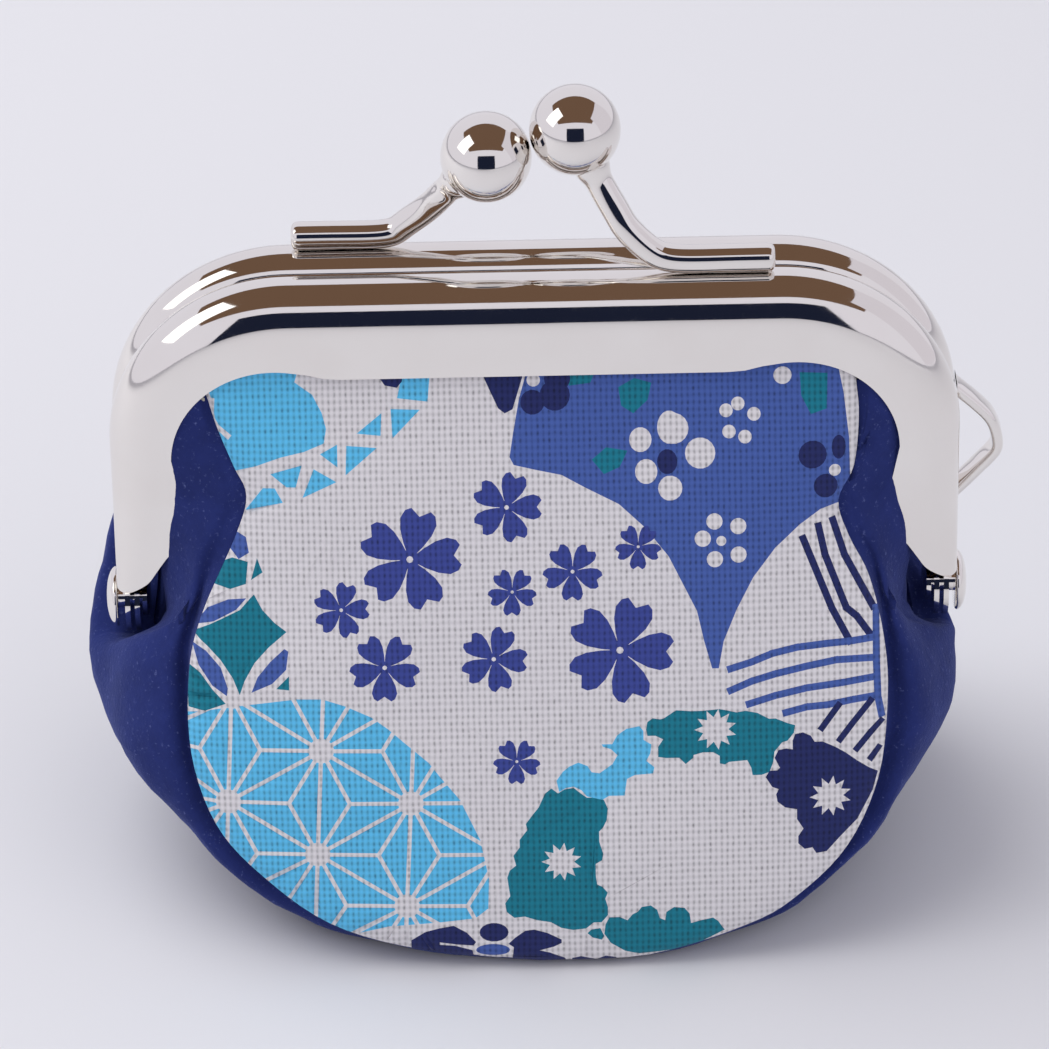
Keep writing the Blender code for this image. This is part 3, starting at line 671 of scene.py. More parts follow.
FIELDS = (
    ("sky", ((-25.4, 47.8), (-17.6, 47.7), (-18.1, 45.8), (-16.8, 44.8), (-16.1, 43.4), (-15.8, 42.2),
     (-16.0, 41.1), (-17.5, 40.5), (-19.3, 40.1), (-21.2, 39.4), (-22.9, 38.9), (-24.1, 42.4),
     (-24.4, 44.5))),
    ("sky", ((-16.3, 40.3), (-15.0, 41.0), (-15.0, 39.3))),
    ("sky", ((-14.3, 40.9), (-12.0, 40.7), (-14.4, 38.7))),
    ("sky", ((-11.6, 43.3), (-13.5, 41.8), (-11.7, 41.6))),
    ("sky", ((-10.9, 43.6), (-8.7, 43.5), (-10.8, 41.4))),
    ("sky", ((-10.0, 46.2), (-7.9, 46.2), (-8.1, 44.1), (-10.4, 44.4))),
    ("sky", ((-20.1, 38.8), (-17.7, 39.5), (-18.2, 37.8), (-18.9, 37.8))),
    ("sky", ((-16.8, 39.2), (-15.1, 38.2), (-17.7, 37.0))),
    ("sky", ((-20.7, 37.7), (-19.8, 37.7), (-19.2, 36.6), (-22.1, 35.9))),
    ("navy", ((-11.8, 47.3), (-9.9, 47.2), (-10.0, 45.7), (-10.4, 45.2), (-11.3, 45.4), (-11.8, 46.2))),
    ("navy", ((-4.0, 47.4), (-0.8, 47.3), (-0.8, 46.3), (-1.7, 43.4), (-2.3, 43.1), (-2.8, 43.5),
     (-4.0, 46.3))),
    ("blue", ((-0.6, 47.3), (-0.6, 46.3), (-1.2, 44.2), (-1.7, 41.6), (-2.0, 39.8), (-1.7, 39.2),
     (-0.0, 38.8), (1.9, 38.4), (3.7, 37.4), (6.2, 36.1), (8.1, 34.3), (9.9, 32.0), (12.0, 27.7),
     (12.5, 25.4), (13.1, 23.2), (13.6, 23.2), (14.0, 25.3), (15.0, 27.7), (16.3, 30.2), (18.0, 32.4),
     (19.9, 34.1), (21.5, 35.2), (23.1, 35.6), (23.8, 37.6), (23.7, 40.7), (23.3, 44.2), (22.8, 46.8))),
    ("teal", ((2.1, 46.4), (4.6, 46.3), (4.2, 45.3), (2.6, 45.1))),
    ("teal", ((6.3, 44.9), (7.5, 45.6), (8.8, 45.2), (8.5, 43.9), (7.4, 42.9), (6.5, 43.5))),
    ("teal", ((4.2, 39.5), (5.3, 40.4), (6.9, 40.1), (6.3, 38.9), (5.1, 38.4))),
    ("teal", ((20.0, 45.8), (22.1, 45.7), (22.0, 43.0), (20.8, 42.6), (20.1, 44.0))),
    ("teal", ((-26.4, 26.5), (-24.1, 27.6), (-22.7, 28.3), (-21.9, 29.2), (-21.6, 29.5), (-21.0, 28.3),
     (-20.1, 27.3), (-19.2, 26.6), (-20.6, 25.4), (-21.7, 24.2), (-22.5, 22.8), (-22.9, 21.7),
     (-23.4, 23.0), (-24.3, 24.4), (-25.3, 25.5))),
    ("blue", ((-26.5, 25.7), (-25.4, 25.1), (-24.3, 23.8), (-23.8, 22.2), (-23.9, 21.6), (-25.0, 22.4),
     (-26.0, 24.0))),
    ("blue", ((-22.0, 21.9), (-21.5, 23.1), (-20.5, 24.3), (-19.4, 25.3), (-19.1, 25.1), (-19.3, 23.7),
     (-20.4, 22.6))),
    ("blue", ((-26.3, 27.0), (-25.2, 28.4), (-23.6, 29.1), (-22.2, 29.2), (-23.0, 28.3), (-24.7, 27.4))),
    ("blue", ((-23.2, 34.4), (-22.1, 33.9), (-21.9, 32.7), (-22.7, 32.2), (-23.4, 33.0))),
    ("teal", ((-24.6, 31.6), (-23.2, 32.3), (-22.0, 32.0), (-22.2, 30.3), (-23.4, 29.9), (-24.7, 30.2))),
    ("teal", ((-27.0, 24.1), (-25.9, 23.4), (-25.0, 22.1), (-24.0, 21.0), (-25.6, 20.4), (-26.9, 20.6))),
    ("teal", ((-20.1, 22.2), (-19.1, 23.2), (-19.1, 22.1))),
    ("teal", ((-21.8, 30.6), (-21.3, 32.3), (-20.9, 31.2))),
    ("teal", ((-0.3, 12.5), (0.2, 13.6), (0.7, 14.0), (1.2, 13.6), (1.7, 13.9), (2.4, 14.0), (3.0, 13.5),
     (3.4, 13.2), (4.1, 13.2), (4.7, 13.0), (5.0, 12.3), (4.9, 11.4), (4.6, 10.8), (4.3, 10.5), (4.3, 9.7),
     (4.6, 8.7), (4.5, 8.2), (4.0, 7.9), (4.0, 6.9), (4.1, 6.2), (4.5, 6.0), (4.9, 5.5), (4.7, 5.0),
     (4.9, 4.3), (4.9, 3.6), (4.4, 3.0), (3.8, 3.0), (3.2, 2.5), (2.2, 2.4), (1.3, 2.6), (0.5, 3.1),
     (-0.6, 3.3), (-1.5, 3.6), (-2.3, 3.5), (-2.9, 4.0), (-3.0, 4.7), (-2.6, 5.3), (-2.7, 6.0),
     (-2.8, 6.8), (-2.6, 7.4), (-2.1, 7.8), (-2.3, 8.6), (-1.8, 9.3), (-1.8, 9.9), (-1.2, 10.7),
     (-1.3, 11.2), (-0.7, 12.0))),
    ("sky", ((1.1, 14.6), (1.6, 15.3), (2.1, 15.7), (2.8, 16.0), (3.5, 15.7), (3.8, 15.2), (4.4, 15.1),
     (5.4, 15.8), (5.8, 16.5), (5.3, 17.0), (4.7, 17.2), (4.6, 17.4), (5.4, 17.4), (5.8, 18.1),
     (6.5, 18.6), (7.5, 18.8), (7.8, 18.4), (7.8, 17.7), (8.4, 17.3), (8.3, 16.6), (8.0, 16.0),
     (8.6, 15.5), (8.5, 15.0), (7.1, 14.9), (6.5, 14.6), (6.4, 14.0), (6.3, 13.3), (5.1, 13.3),
     (4.6, 13.0), (3.4, 13.3), (3.0, 13.8), (2.4, 14.1), (1.8, 14.0), (1.3, 13.7))),
    ("teal", ((8.1, 19.1), (8.5, 19.4), (9.1, 19.3), (9.4, 19.4), (10.3, 20.0), (11.4, 19.9), (12.3, 19.9),
     (13.6, 20.0), (14.1, 19.9), (14.9, 19.7), (15.6, 19.8), (16.5, 19.6), (17.4, 19.1), (17.9, 19.1),
     (18.8, 18.7), (19.4, 18.5), (19.3, 17.9), (18.8, 17.3), (18.4, 17.2), (17.8, 16.5), (17.7, 15.7),
     (17.4, 14.9), (16.8, 14.7), (16.1, 14.7), (16.0, 15.3), (15.7, 15.9), (14.3, 15.8), (14.0, 15.6),
     (13.6, 15.7), (13.6, 16.3), (13.1, 16.6), (12.3, 16.6), (11.6, 16.4), (11.6, 16.2), (11.0, 15.7),
     (10.5, 16.2), (9.5, 16.2), (8.9, 16.3), (8.9, 17.1), (9.3, 17.7), (8.7, 18.0), (8.1, 18.0),
     (8.0, 18.5))),
    ("navy", ((19.2, 17.3), (19.4, 17.8), (20.0, 17.9), (20.6, 17.6), (20.9, 17.1), (21.5, 17.1),
     (22.5, 16.6), (23.3, 16.1), (24.2, 15.4), (25.1, 14.8), (25.8, 14.4), (25.4, 12.9), (24.2, 10.7),
     (22.8, 9.3), (21.8, 8.2), (21.0, 8.1), (20.7, 8.6), (20.1, 8.5), (19.6, 9.0), (19.6, 9.6),
     (20.0, 10.2), (19.5, 11.0), (19.5, 11.8), (18.6, 12.0), (18.0, 12.5), (17.9, 13.1), (18.1, 13.5),
     (17.6, 13.7), (17.1, 14.5), (17.4, 15.0), (18.0, 15.0), (18.2, 15.2), (17.8, 16.0), (18.1, 16.6),
     (18.7, 16.7), (19.2, 16.6))),
    ("teal", ((4.7, 2.8), (5.0, 3.4), (5.8, 3.4), (6.4, 3.1), (6.8, 3.6), (7.2, 3.8), (7.5, 4.2),
     (8.2, 4.3), (8.7, 3.9), (8.9, 3.2), (9.3, 3.0), (9.4, 3.7), (10.0, 4.1), (10.8, 4.0), (11.2, 3.5),
     (11.3, 2.7), (12.0, 2.9), (13.0, 3.1), (13.4, 2.8), (13.9, 2.0), (11.2, 0.4), (7.3, 0.2), (6.2, 0.5),
     (5.1, 1.2), (4.6, 2.0))),
    ("teal", ((3.6, 2.4), (4.3, 2.5), (4.6, 1.8), (4.4, 1.5), (3.7, 1.7), (3.3, 2.1))),
    ("navy", ((-10.3, 1.7), (-9.2, 2.4), (-8.1, 2.7), (-7.0, 2.9), (-6.0, 2.3), (-5.3, 1.5), (-5.5, 1.2),
     (-6.7, 1.3), (-8.1, 1.5), (-8.1, 1.3), (-6.9, 1.2), (-5.6, 0.8), (-5.5, 0.3), (-2.5, 0.0),
     (-2.4, 1.0), (-2.8, 1.3), (-2.3, 1.8), (-1.5, 2.4), (-0.8, 2.5), (0.2, 2.2), (1.3, 1.6), (1.3, 1.3),
     (0.7, 1.0), (-0.4, 0.7), (0.4, 0.5), (1.5, 0.0), (1.8, -0.6), (-0.4, -0.8), (-4.0, -0.7),
     (-10.3, -0.3))),
    ("navy", ((2.1, -0.1), (2.8, 0.1), (4.0, -0.3), (4.7, 0.1), (5.5, -0.1), (5.6, -0.4), (4.0, -0.9),
     (2.1, -0.7))),
)
STROKES = (
    ("white", 0.45, ((-24.4, 44.5), (-24.5, 43.1), (-24.1, 42.4), (-23.2, 41.7))),
    ("navy", 0.55, ((20.1, 33.1), (21.2, 30.3), (22.3, 27.5), (23.7, 24.8))),
    ("navy", 0.55, ((21.3, 34.0), (21.8, 31.7), (23.4, 27.5), (24.2, 26.8), (25.4, 25.1))),
    ("navy", 0.55, ((22.4, 34.4), (23.3, 31.6), (25.5, 27.4))),
    ("blue", 0.56, ((14.4, 23.1), (16.1, 23.6), (17.7, 24.2), (19.6, 24.6), (21.9, 24.8), (23.8, 24.9),
     (25.7, 25.1))),
    ("blue", 0.56, ((14.4, 21.4), (16.1, 22.1), (17.9, 22.6), (20.3, 23.1), (22.6, 23.5), (25.6, 23.5))),
    ("blue", 0.56, ((15.8, 20.3), (17.9, 20.9), (20.3, 21.4), (23.1, 21.7), (25.6, 22.0))),
    ("blue", 0.56, ((18.6, 19.5), (20.3, 19.9), (21.9, 20.0), (23.8, 20.3), (25.6, 20.5))),
    ("blue", 0.56, ((25.7, 27.4), (25.7, 23.1), (25.8, 20.4), (26.1, 18.9))),
    ("navy", 0.50, ((21.4, 18.1), (22.8, 20.0))),
    ("navy", 0.50, ((22.8, 17.1), (23.8, 18.4), (25.3, 20.2))),
    ("navy", 0.50, ((24.1, 16.3), (25.2, 17.6), (26.1, 18.5))),
    ("navy", 0.50, ((25.2, 15.5), (25.9, 16.4))),
)
DOTS = (
    ("navy", -0.2, 43.9, 0.92, 0.94), ("navy", 1.5, 44.4, 1.15, 1.18), ("navy", 1.7, 45.7, 1.00, 1.02),
    ("white", -0.1, 45.6, 0.51, 0.52), ("white", 7.9, 40.9, 0.85, 0.94), ("white", 10.1, 41.8, 0.92, 1.26),
    ("white", 8.3, 38.5, 0.85, 0.94), ("white", 10.0, 37.2, 0.77, 0.94), ("white", 10.4, 41.7, 1.15, 1.18),
    ("white", 12.4, 39.8, 1.15, 1.18), ("white", 10.1, 37.2, 0.92, 0.94), ("navy", 9.9, 39.2, 0.77, 0.94),
    ("white", 14.4, 43.0, 0.51, 0.52), ("white", 15.3, 43.5, 0.51, 0.52),
    ("white", 16.5, 42.7, 0.51, 0.52), ("white", 15.8, 41.0, 0.51, 0.52),
    ("white", 14.6, 41.4, 0.51, 0.52), ("white", 13.9, 33.1, 0.38, 0.39),
    ("white", 13.4, 34.6, 0.62, 0.63), ("white", 15.2, 34.2, 0.62, 0.63),
    ("white", 15.2, 32.0, 0.62, 0.63), ("white", 13.4, 31.7, 0.62, 0.63),
    ("white", 12.5, 33.3, 0.62, 0.63), ("white", 18.7, 45.6, 0.69, 0.71), ("navy", 20.9, 39.5, 1.08, 1.10),
    ("navy", 22.9, 40.0, 0.54, 0.94), ("navy", 21.9, 37.0, 0.92, 0.94), ("white", 22.6, 38.2, 0.46, 0.47),
    ("navy", -3.9, 2.3, 1.12, 0.79), ("white", -4.0, 0.7, 1.54, 0.71), ("blue", -4.0, 0.8, 1.31, 0.51),
)


# %% [markdown]
# Lines, ovals, blossoms and hearts are all closed outlines, so the print is one list of them from the
# lowest to the topmost. The hemp leaf is a lattice of white lines that shows only inside its field.

# %% Shapes of the print
def stroke_outlines(points, width):
    """A stroke as one quad for each of its runs."""
    quads = []
    for a, b in zip(points, points[1:]):
        a, b = Vector(a), Vector(b)
        run = (b - a).normalized()
        side = Vector((-run.y, run.x)) * width / 2
        a, b = a - run * width * 0.3, b + run * width * 0.3
        quads.append([a - side, b - side, b + side, a + side])
    return quads


def oval(u, v, across, up, steps=18):
    """An ellipse with its middle at (u, v)."""
    turn = [2 * math.pi * step / steps for step in range(steps)]
    return [Vector((u + across * math.cos(t), v + up * math.sin(t))) for t in turn]


def cherry_blossom(u, v, radius, start):
    """Five petals, each narrow at its foot, with a notch in its tip."""
    petals = []
    half = ((0.08, 0.06), (0.3, 0.2), (0.55, 0.32), (0.78, 0.37), (0.95, 0.31), (1.02, 0.2))
    rim = half + ((0.88, 0.0),) + tuple((along, -side) for along, side in reversed(half))
    for petal in range(5):
        turn = Matrix.Rotation(start + 2 * math.pi * petal / 5, 2)
        petals.append([Vector((u, v)) + turn @ Vector(point) * radius for point in rim])
    return petals


def spiky_heart(u, v, radius):
    """The star-like heart of a chrysanthemum."""
    points = []
    for step in range(HEART_SPIKES * 2):
        angle = math.pi * step / HEART_SPIKES
        reach = radius * (1.35 if step % 2 else 0.82)
        points.append(Vector((u + reach * math.cos(angle), v + reach * math.sin(angle))))
    return points


def hemp_leaf_lines():
    """Edges of a triangular lattice, and spokes from each corner to the middles of its triangles."""
    origin = Vector(HEMP_ORIGIN)
    first, second = (Vector(step) for step in HEMP_STEPS)
    shapes = []
    for i in range(-4, 5):
        for j in range(-4, 5):
            corner = origin + first * i + second * j
            if not (-34 < corner.x < 4 and -8 < corner.y < 29):
                continue
            for step in (first, second, first - second):
                shapes += stroke_outlines([corner, corner + step], HEMP_LINE)
            for a, b in ((first, second), (first, first - second)):
                middle = corner + (a + b) / 3
                for end in (corner, corner + a, corner + b):
                    shapes += stroke_outlines([middle, end], HEMP_LINE)
            shapes.append(oval(*corner, HEMP_STAR, HEMP_STAR, 12))
    return shapes


def print_shapes():
    """(colour, outline, only inside the hemp field) from the lowest to the topmost."""
    shapes = [("sky", [Vector(p) for p in HEMP_FIELD], False)]
    shapes += [("white", outline, True) for outline in hemp_leaf_lines()]
    shapes += [(colour, [Vector(p) for p in outline], False) for colour, outline in FIELDS]
    for u, v, radius, start in CHERRY:
        shapes += [("indigo", petal, False) for petal in cherry_blossom(u, v, radius, start)]
        shapes.append(("indigo", oval(u, v, radius * 0.2, radius * 0.2, 10), False))
        shapes.append(("white", oval(u, v, radius * 0.07, radius * 0.07, 8), False))
    for colour, width, points in STROKES:
        shapes += [(colour, quad, False) for quad in stroke_outlines(points, width)]
    shapes += [(colour, oval(*place), False) for colour, *place in DOTS]
    shapes += [("white", spiky_heart(*heart), False) for heart in KIKU_HEARTS]
    return shapes


# %% [markdown]
# A panel leans in from its foot to the channel, puffs out a little and rolls in at the seams. The
# flat cloth is cut into small triangles along every outline of the print, so each one is one colour.
# The cloth has a thickness: a second layer behind the first and a rim round its edge.

# %% Panels
PANEL_FOOT = 20.6
PANEL_LOW = 1.0
MOUTH_DEPTH = 4.62
MOUTH_HEIGHT = 44.05
PANEL_PUFF = 1.5
PUFF_REACH = 14
CREASES = 0.3
SEAM_SINK = 0.45
SEAM_ROLL = 0.7
CHANNEL_RUN = 3.4
LEAN = math.atan((PANEL_FOOT - 4.8) / (MOUTH_HEIGHT - PANEL_LOW))


seam_left, seam_right = (curve_points([Vector(p) for p in seam], 5) for seam in (SEAM_LEFT, SEAM_RIGHT))
top_left, top_right = seam_left[-1], seam_right[-1]
top_edge = [top_left + Vector((0.3, CHANNEL_RUN * 0.7)), top_left + Vector((2.0, CHANNEL_RUN))]
top_edge += [top_right + Vector((-2.0, CHANNEL_RUN)), top_right + Vector((-0.3, CHANNEL_RUN * 0.7))]
cloth_outline = seam_left + top_edge + seam_right[:0:-1]
seam_runs = np.array([tuple(p) for p in seam_left[::-1] + seam_right[1:]])


def seam_distance(points):
    """Distance of each flat point from the nearest seam."""
    a, b = seam_runs[:-1], seam_runs[1:]
    run = b - a
    from_a = points[:, None, :] - a[None, :, :]
    share = np.clip((from_a * run).sum(2) / (run * run).sum(1), 0, 1)
    return np.linalg.norm(from_a - share[:, :, None] * run, axis=2).min(1)


def lip_height(x):
    """Height of the flange's lip over the cloth."""
    x = abs(x)
    if x > LIP_CORNER_X:
        return LIP_CORNER_Z + math.sqrt(max(LIP_CORNER**2 - (x - LIP_CORNER_X) ** 2, 0.0))
    return CROWN - CROWN_FLANGE + (CROWN_FLANGE - CORNER_FLANGE) * ease((x - 16) / 3.5)


def panel_place(u, v, from_seam, facing, behind):
    """The point of the lifted panel for a flat point; behind is the depth below its face."""
    free = min(from_seam, max(45.0 - v, 0.0) * 0.8)
    puff = PANEL_PUFF * (1 - (1 - min(free / PUFF_REACH, 1.0)) ** 2)
    puff += CREASES * noise.noise(Vector((u * 0.11, v * 0.13, 3.7))) * min(free / 4, 1.0)
    puff -= SEAM_SINK * max(1 - from_seam / SEAM_ROLL, 0.0) ** 2 + behind
    depth = PANEL_FOOT - v * math.sin(LEAN) + puff * math.cos(LEAN)
    early = max(MOUTH_HEIGHT - lip_height(u), 0.0) * math.tan(LEAN)
    depth -= early * ease((v - 36) / 8)
    mouth = MOUTH_DEPTH - behind
    gap = depth - mouth
    depth = mouth + (gap + math.sqrt(gap * gap + 0.16)) / 2
    return Vector((u, facing * depth, PANEL_LOW + v * math.cos(LEAN) + puff * math.sin(LEAN)))


def flat_mesh(outline, shapes, spacing):
    """Flat points, triangles and a colour name for each triangle."""
    points, faces = [], []
    for shape in [outline] + [shape for _, shape, _ in shapes]:
        turn = sum(a.x * b.y - b.x * a.y for a, b in zip(shape, shape[1:] + shape[:1]))
        faces.append(list(range(len(points), len(points) + len(shape))))
        points += shape if turn > 0 else shape[::-1]
    low = np.min([tuple(p) for p in outline], axis=0)
    high = np.max([tuple(p) for p in outline], axis=0)
    for i, u in enumerate(np.arange(low[0], high[0], spacing)):
        for v in np.arange(low[1], high[1], spacing):
            points.append(Vector((u, v + (i % 2) * spacing / 2)))
    made = geometry.delaunay_2d_cdt(points, [], faces, 0, 0.0001)
    verts, triangles, sources = made[0], made[2], made[5]
    kept, colours = [], []
    for triangle, source in zip(triangles, sources):
        if 0 not in source:
            continue
        name = "white"
        for index in sorted(source):
            if index > 0 and (not shapes[index - 1][2] or 1 in source):
                name = shapes[index - 1][0]
        kept.append(triangle)
        colours.append(name)
    used = sorted({i for triangle in kept for i in triangle})
    place = {old: new for new, old in enumerate(used)}
    return [verts[i] for i in used], [[place[i] for i in triangle] for triangle in kept], colours


def cloth_piece(name, points, faces, material, flat, colours=None, thickness=0.5):
    """A thin cloth mesh: flat gives its UV in millimetres, colours the print of each face."""
    points, faces, sources = thicken(points, faces, thickness)
    mesh = bpy.data.meshes.new(name)
    mesh.from_pydata([p * MM for p in points], [], faces)
    layer = mesh.uv_layers.new(name="flat cloth")
    corners = [i % len(flat) for face in faces for i in face]
    layer.data.foreach_set("uv", np.array([tuple(flat[i]) for i in corners]).ravel())
    if colours is not None:
        dye = mesh.color_attributes.new("print", "FLOAT_COLOR", "CORNER")
        table = {key: linear(code) for key, code in PRINT_COLOURS.items()}
        shades = [table[colours[source]] for face, source in zip(faces, sources) for _ in face]
        dye.data.foreach_set("color", np.array(shades).ravel())
    mesh.shade_smooth()
    mesh.set_sharp_from_angle(angle=math.radians(60))
    mesh.materials.append(material)
    piece = bpy.data.objects.new(name, mesh)
    bpy.context.collection.objects.link(piece)
    return piece


# %% [markdown]
# Plain sheeting shows its threads: about 58 to the inch across and 48 up, with a small gap at
# each crossing. The dye sits on the threads, and painted shade darkens the colour in the gaps and
# in the grooves between threads, over the print too; the same pattern raises the threads as a bump.
# The weave is two waves of the flat cloth's own millimetres, and a little noise makes the threads uneven.

# %% Cloth materials
WARP_PITCH = 0.437
WEFT_PITCH = 0.53


def thread_wave(tree, place, pitch):
    """1 on a thread's middle and 0 between two threads."""
    turn = add_node(tree, "Math", {0: place, 1: 2 * math.pi / pitch}, operation="MULTIPLY")
    wave = add_node(tree, "Math", {0: turn.outputs[0]}, operation="COSINE")
    half = add_node(tree, "Math", {0: wave.outputs[0], 1: 0.5, 2: 0.5}, operation="MULTIPLY_ADD")
    return half.outputs[0]


def weave_material(name, dye=None):
    """Plain weave over the cloth's UV, with painted shade in its gaps and grooves; the dye comes from the
    print, or is one colour.
    """
    material, tree, shader = new_material(name)
    flat = add_node(tree, "UVMap", uv_map="flat cloth").outputs["UV"]
    drift = add_node(tree, "TexNoise", {"Vector": flat, "Scale": 0.9, "Detail": 3.0})
    wobble = add_node(tree, "VectorMath", {0: drift.outputs["Color"], 1: (0.12, 0.12, 0.0)},
                      operation="MULTIPLY")
    place = add_node(tree, "VectorMath", {0: flat, 1: wobble.outputs[0]}, operation="ADD")
    split = add_node(tree, "SeparateXYZ", {"Vector": place.outputs[0]})
    warp = thread_wave(tree, split.outputs["X"], WARP_PITCH)
    weft = thread_wave(tree, split.outputs["Y"], WEFT_PITCH)
    off_warp = add_node(tree, "Math", {0: 1.0, 1: warp}, operation="SUBTRACT")
    off_weft = add_node(tree, "Math", {0: 1.0, 1: weft}, operation="SUBTRACT")
    narrow = add_node(tree, "Math", {0: off_warp.outputs[0], 1: 1.8}, operation="POWER")
    long = add_node(tree, "Math", {0: off_weft.outputs[0], 1: 0.7}, operation="POWER")
    # Painted shade: the colour is darkened in the gaps at the crossings, by an uneven depth, and a little
    # along the grooves between threads
    gap = add_node(tree, "Math", {0: narrow.outputs[0], 1: long.outputs[0]}, operation="MULTIPLY")
    groove = add_node(tree, "Math", {0: off_warp.outputs[0], 1: off_weft.outputs[0]}, operation="MAXIMUM")
    uneven = add_node(tree, "TexNoise", {"Vector": flat, "Scale": 1.6, "Detail": 4.0})
    depth = add_node(tree, "MapRange", {"Value": uneven.outputs["Fac"], "From Min": 0.3, "From Max": 0.7,
                                        "To Min": 0.12, "To Max": 0.55})
    gap_shade = add_node(tree, "Math", {0: gap.outputs[0], 1: depth.outputs["Result"]}, operation="MULTIPLY")
    shade = add_node(tree, "Math", {0: groove.outputs[0], 1: 0.13, 2: gap_shade.outputs[0]},
                     operation="MULTIPLY_ADD")
    shade_and_relief = add_node(tree, "Math", {0: 1.0, 1: shade.outputs[0]}, operation="SUBTRACT", use_clamp=True)
    if dye is None:
        colour = add_node(tree, "VertexColor", layer_name="print").outputs["Color"]
    else:
        colour = linear(dye)
    # The dye multiplied by the painted shade of the weave; the same pattern is the bump's height
    mix = add_node(tree, "Mix", {"Factor": 1.0, "A": colour, "B": shade_and_relief.outputs[0]}, data_type="RGBA",
                   blend_type="MULTIPLY")
    bump = add_node(tree, "Bump", {"Height": shade_and_relief.outputs[0], "Strength": 0.35, "Distance": 0.00006})
    feed(tree, shader, {"Base Color": mix.outputs["Result"], "Normal": bump.outputs["Normal"],
                        "Roughness": 0.85, "Specular IOR Level": 0.2, "Sheen Weight": 0.12})
    return material


def felt_material():
    """Brushed navy cloth: a soft nap, uneven at two scales, with specks of paler lint."""
    material, tree, shader = new_material("navy_felt")
    place = add_node(tree, "TexCoord").outputs["Object"]
    patches = add_node(tree, "TexNoise", {"Vector": place, "Scale": 300.0, "Detail": 5.0, "Roughness": 0.65})
    nap = add_node(tree, "TexNoise", {"Vector": place, "Scale": 2600.0, "Detail": 4.0, "Roughness": 0.7})
    colour = add_node(tree, "Mix", {"Factor": patches.outputs["Fac"], "A": linear("1d2553"),
                                    "B": linear("2e3a7c")}, data_type="RGBA")
    speck = add_node(tree, "MapRange", {"Value": nap.outputs["Fac"], "From Min": 0.6, "From Max": 0.76,
                                        "To Min": 0.0, "To Max": 0.6})
    lint = add_node(tree, "Mix", {"Factor": speck.outputs["Result"], "A": colour.outputs["Result"],
                                  "B": linear("7480b8")}, data_type="RGBA")
    height = add_node(tree, "Math", {0: patches.outputs["Fac"], 1: 2.0, 2: nap.outputs["Fac"]},
                      operation="MULTIPLY_ADD")
    bump = add_node(tree, "Bump", {"Height": height.outputs[0], "Strength": 0.5, "Distance": 0.00015})
    feed(tree, shader, {"Base Color": lint.outputs["Result"], "Normal": bump.outputs["Normal"],
                        "Roughness": 0.95, "Specular IOR Level": 0.1, "Sheen Weight": 0.35,
                        "Sheen Roughness": 0.4, "Sheen Tint": linear("8f9bd6")})
    return material


printed = weave_material("printed_cotton")
plain = weave_material("lining_cotton", "cfcabc")
felt = felt_material()

# %% [markdown]
# Front and rear are cut alike, the rear one seen from behind.
# The lining is the same cut in undyed cotton, 0.8 mm behind.

# %% Make the panels and their linings
LINING_GAP = 0.8
flat_area = 0.0
for a, b in zip(cloth_outline, cloth_outline[1:] + cloth_outline[:1]):
    flat_area += (a.x * b.y - b.x * a.y) / 2 * MM * MM
flat_area = abs(flat_area)
flat_points, flat_faces, flat_colours = flat_mesh(cloth_outline, print_shapes(), 0.75)
plain_points, plain_faces, _ = flat_mesh(cloth_outline, [], 1.2)
for word, facing in (("front", -1), ("rear", 1)):
    for kind, points, faces, behind in (("print", flat_points, flat_faces, 0.0),
                                        ("lining_cloth", plain_points, plain_faces, LINING_GAP)):
        away = seam_distance(np.array([tuple(p) for p in points]))
        lifted = [panel_place(p.x, p.y, d, facing, behind) for p, d in zip(points, away)]
        if facing > 0:
            lifted = [Vector((-p.x, p.y, p.z)) for p in lifted]
        colours = flat_colours if kind == "print" else None
        material = printed if kind == "print" else plain
        cloth = cloth_piece(word + "_" + kind, lifted, faces, material, points, colours)
        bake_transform(cloth)
        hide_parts(word + ("_panel" if kind == "print" else "_lining"))
        print(cloth.name, len(cloth.data.polygons), "faces")
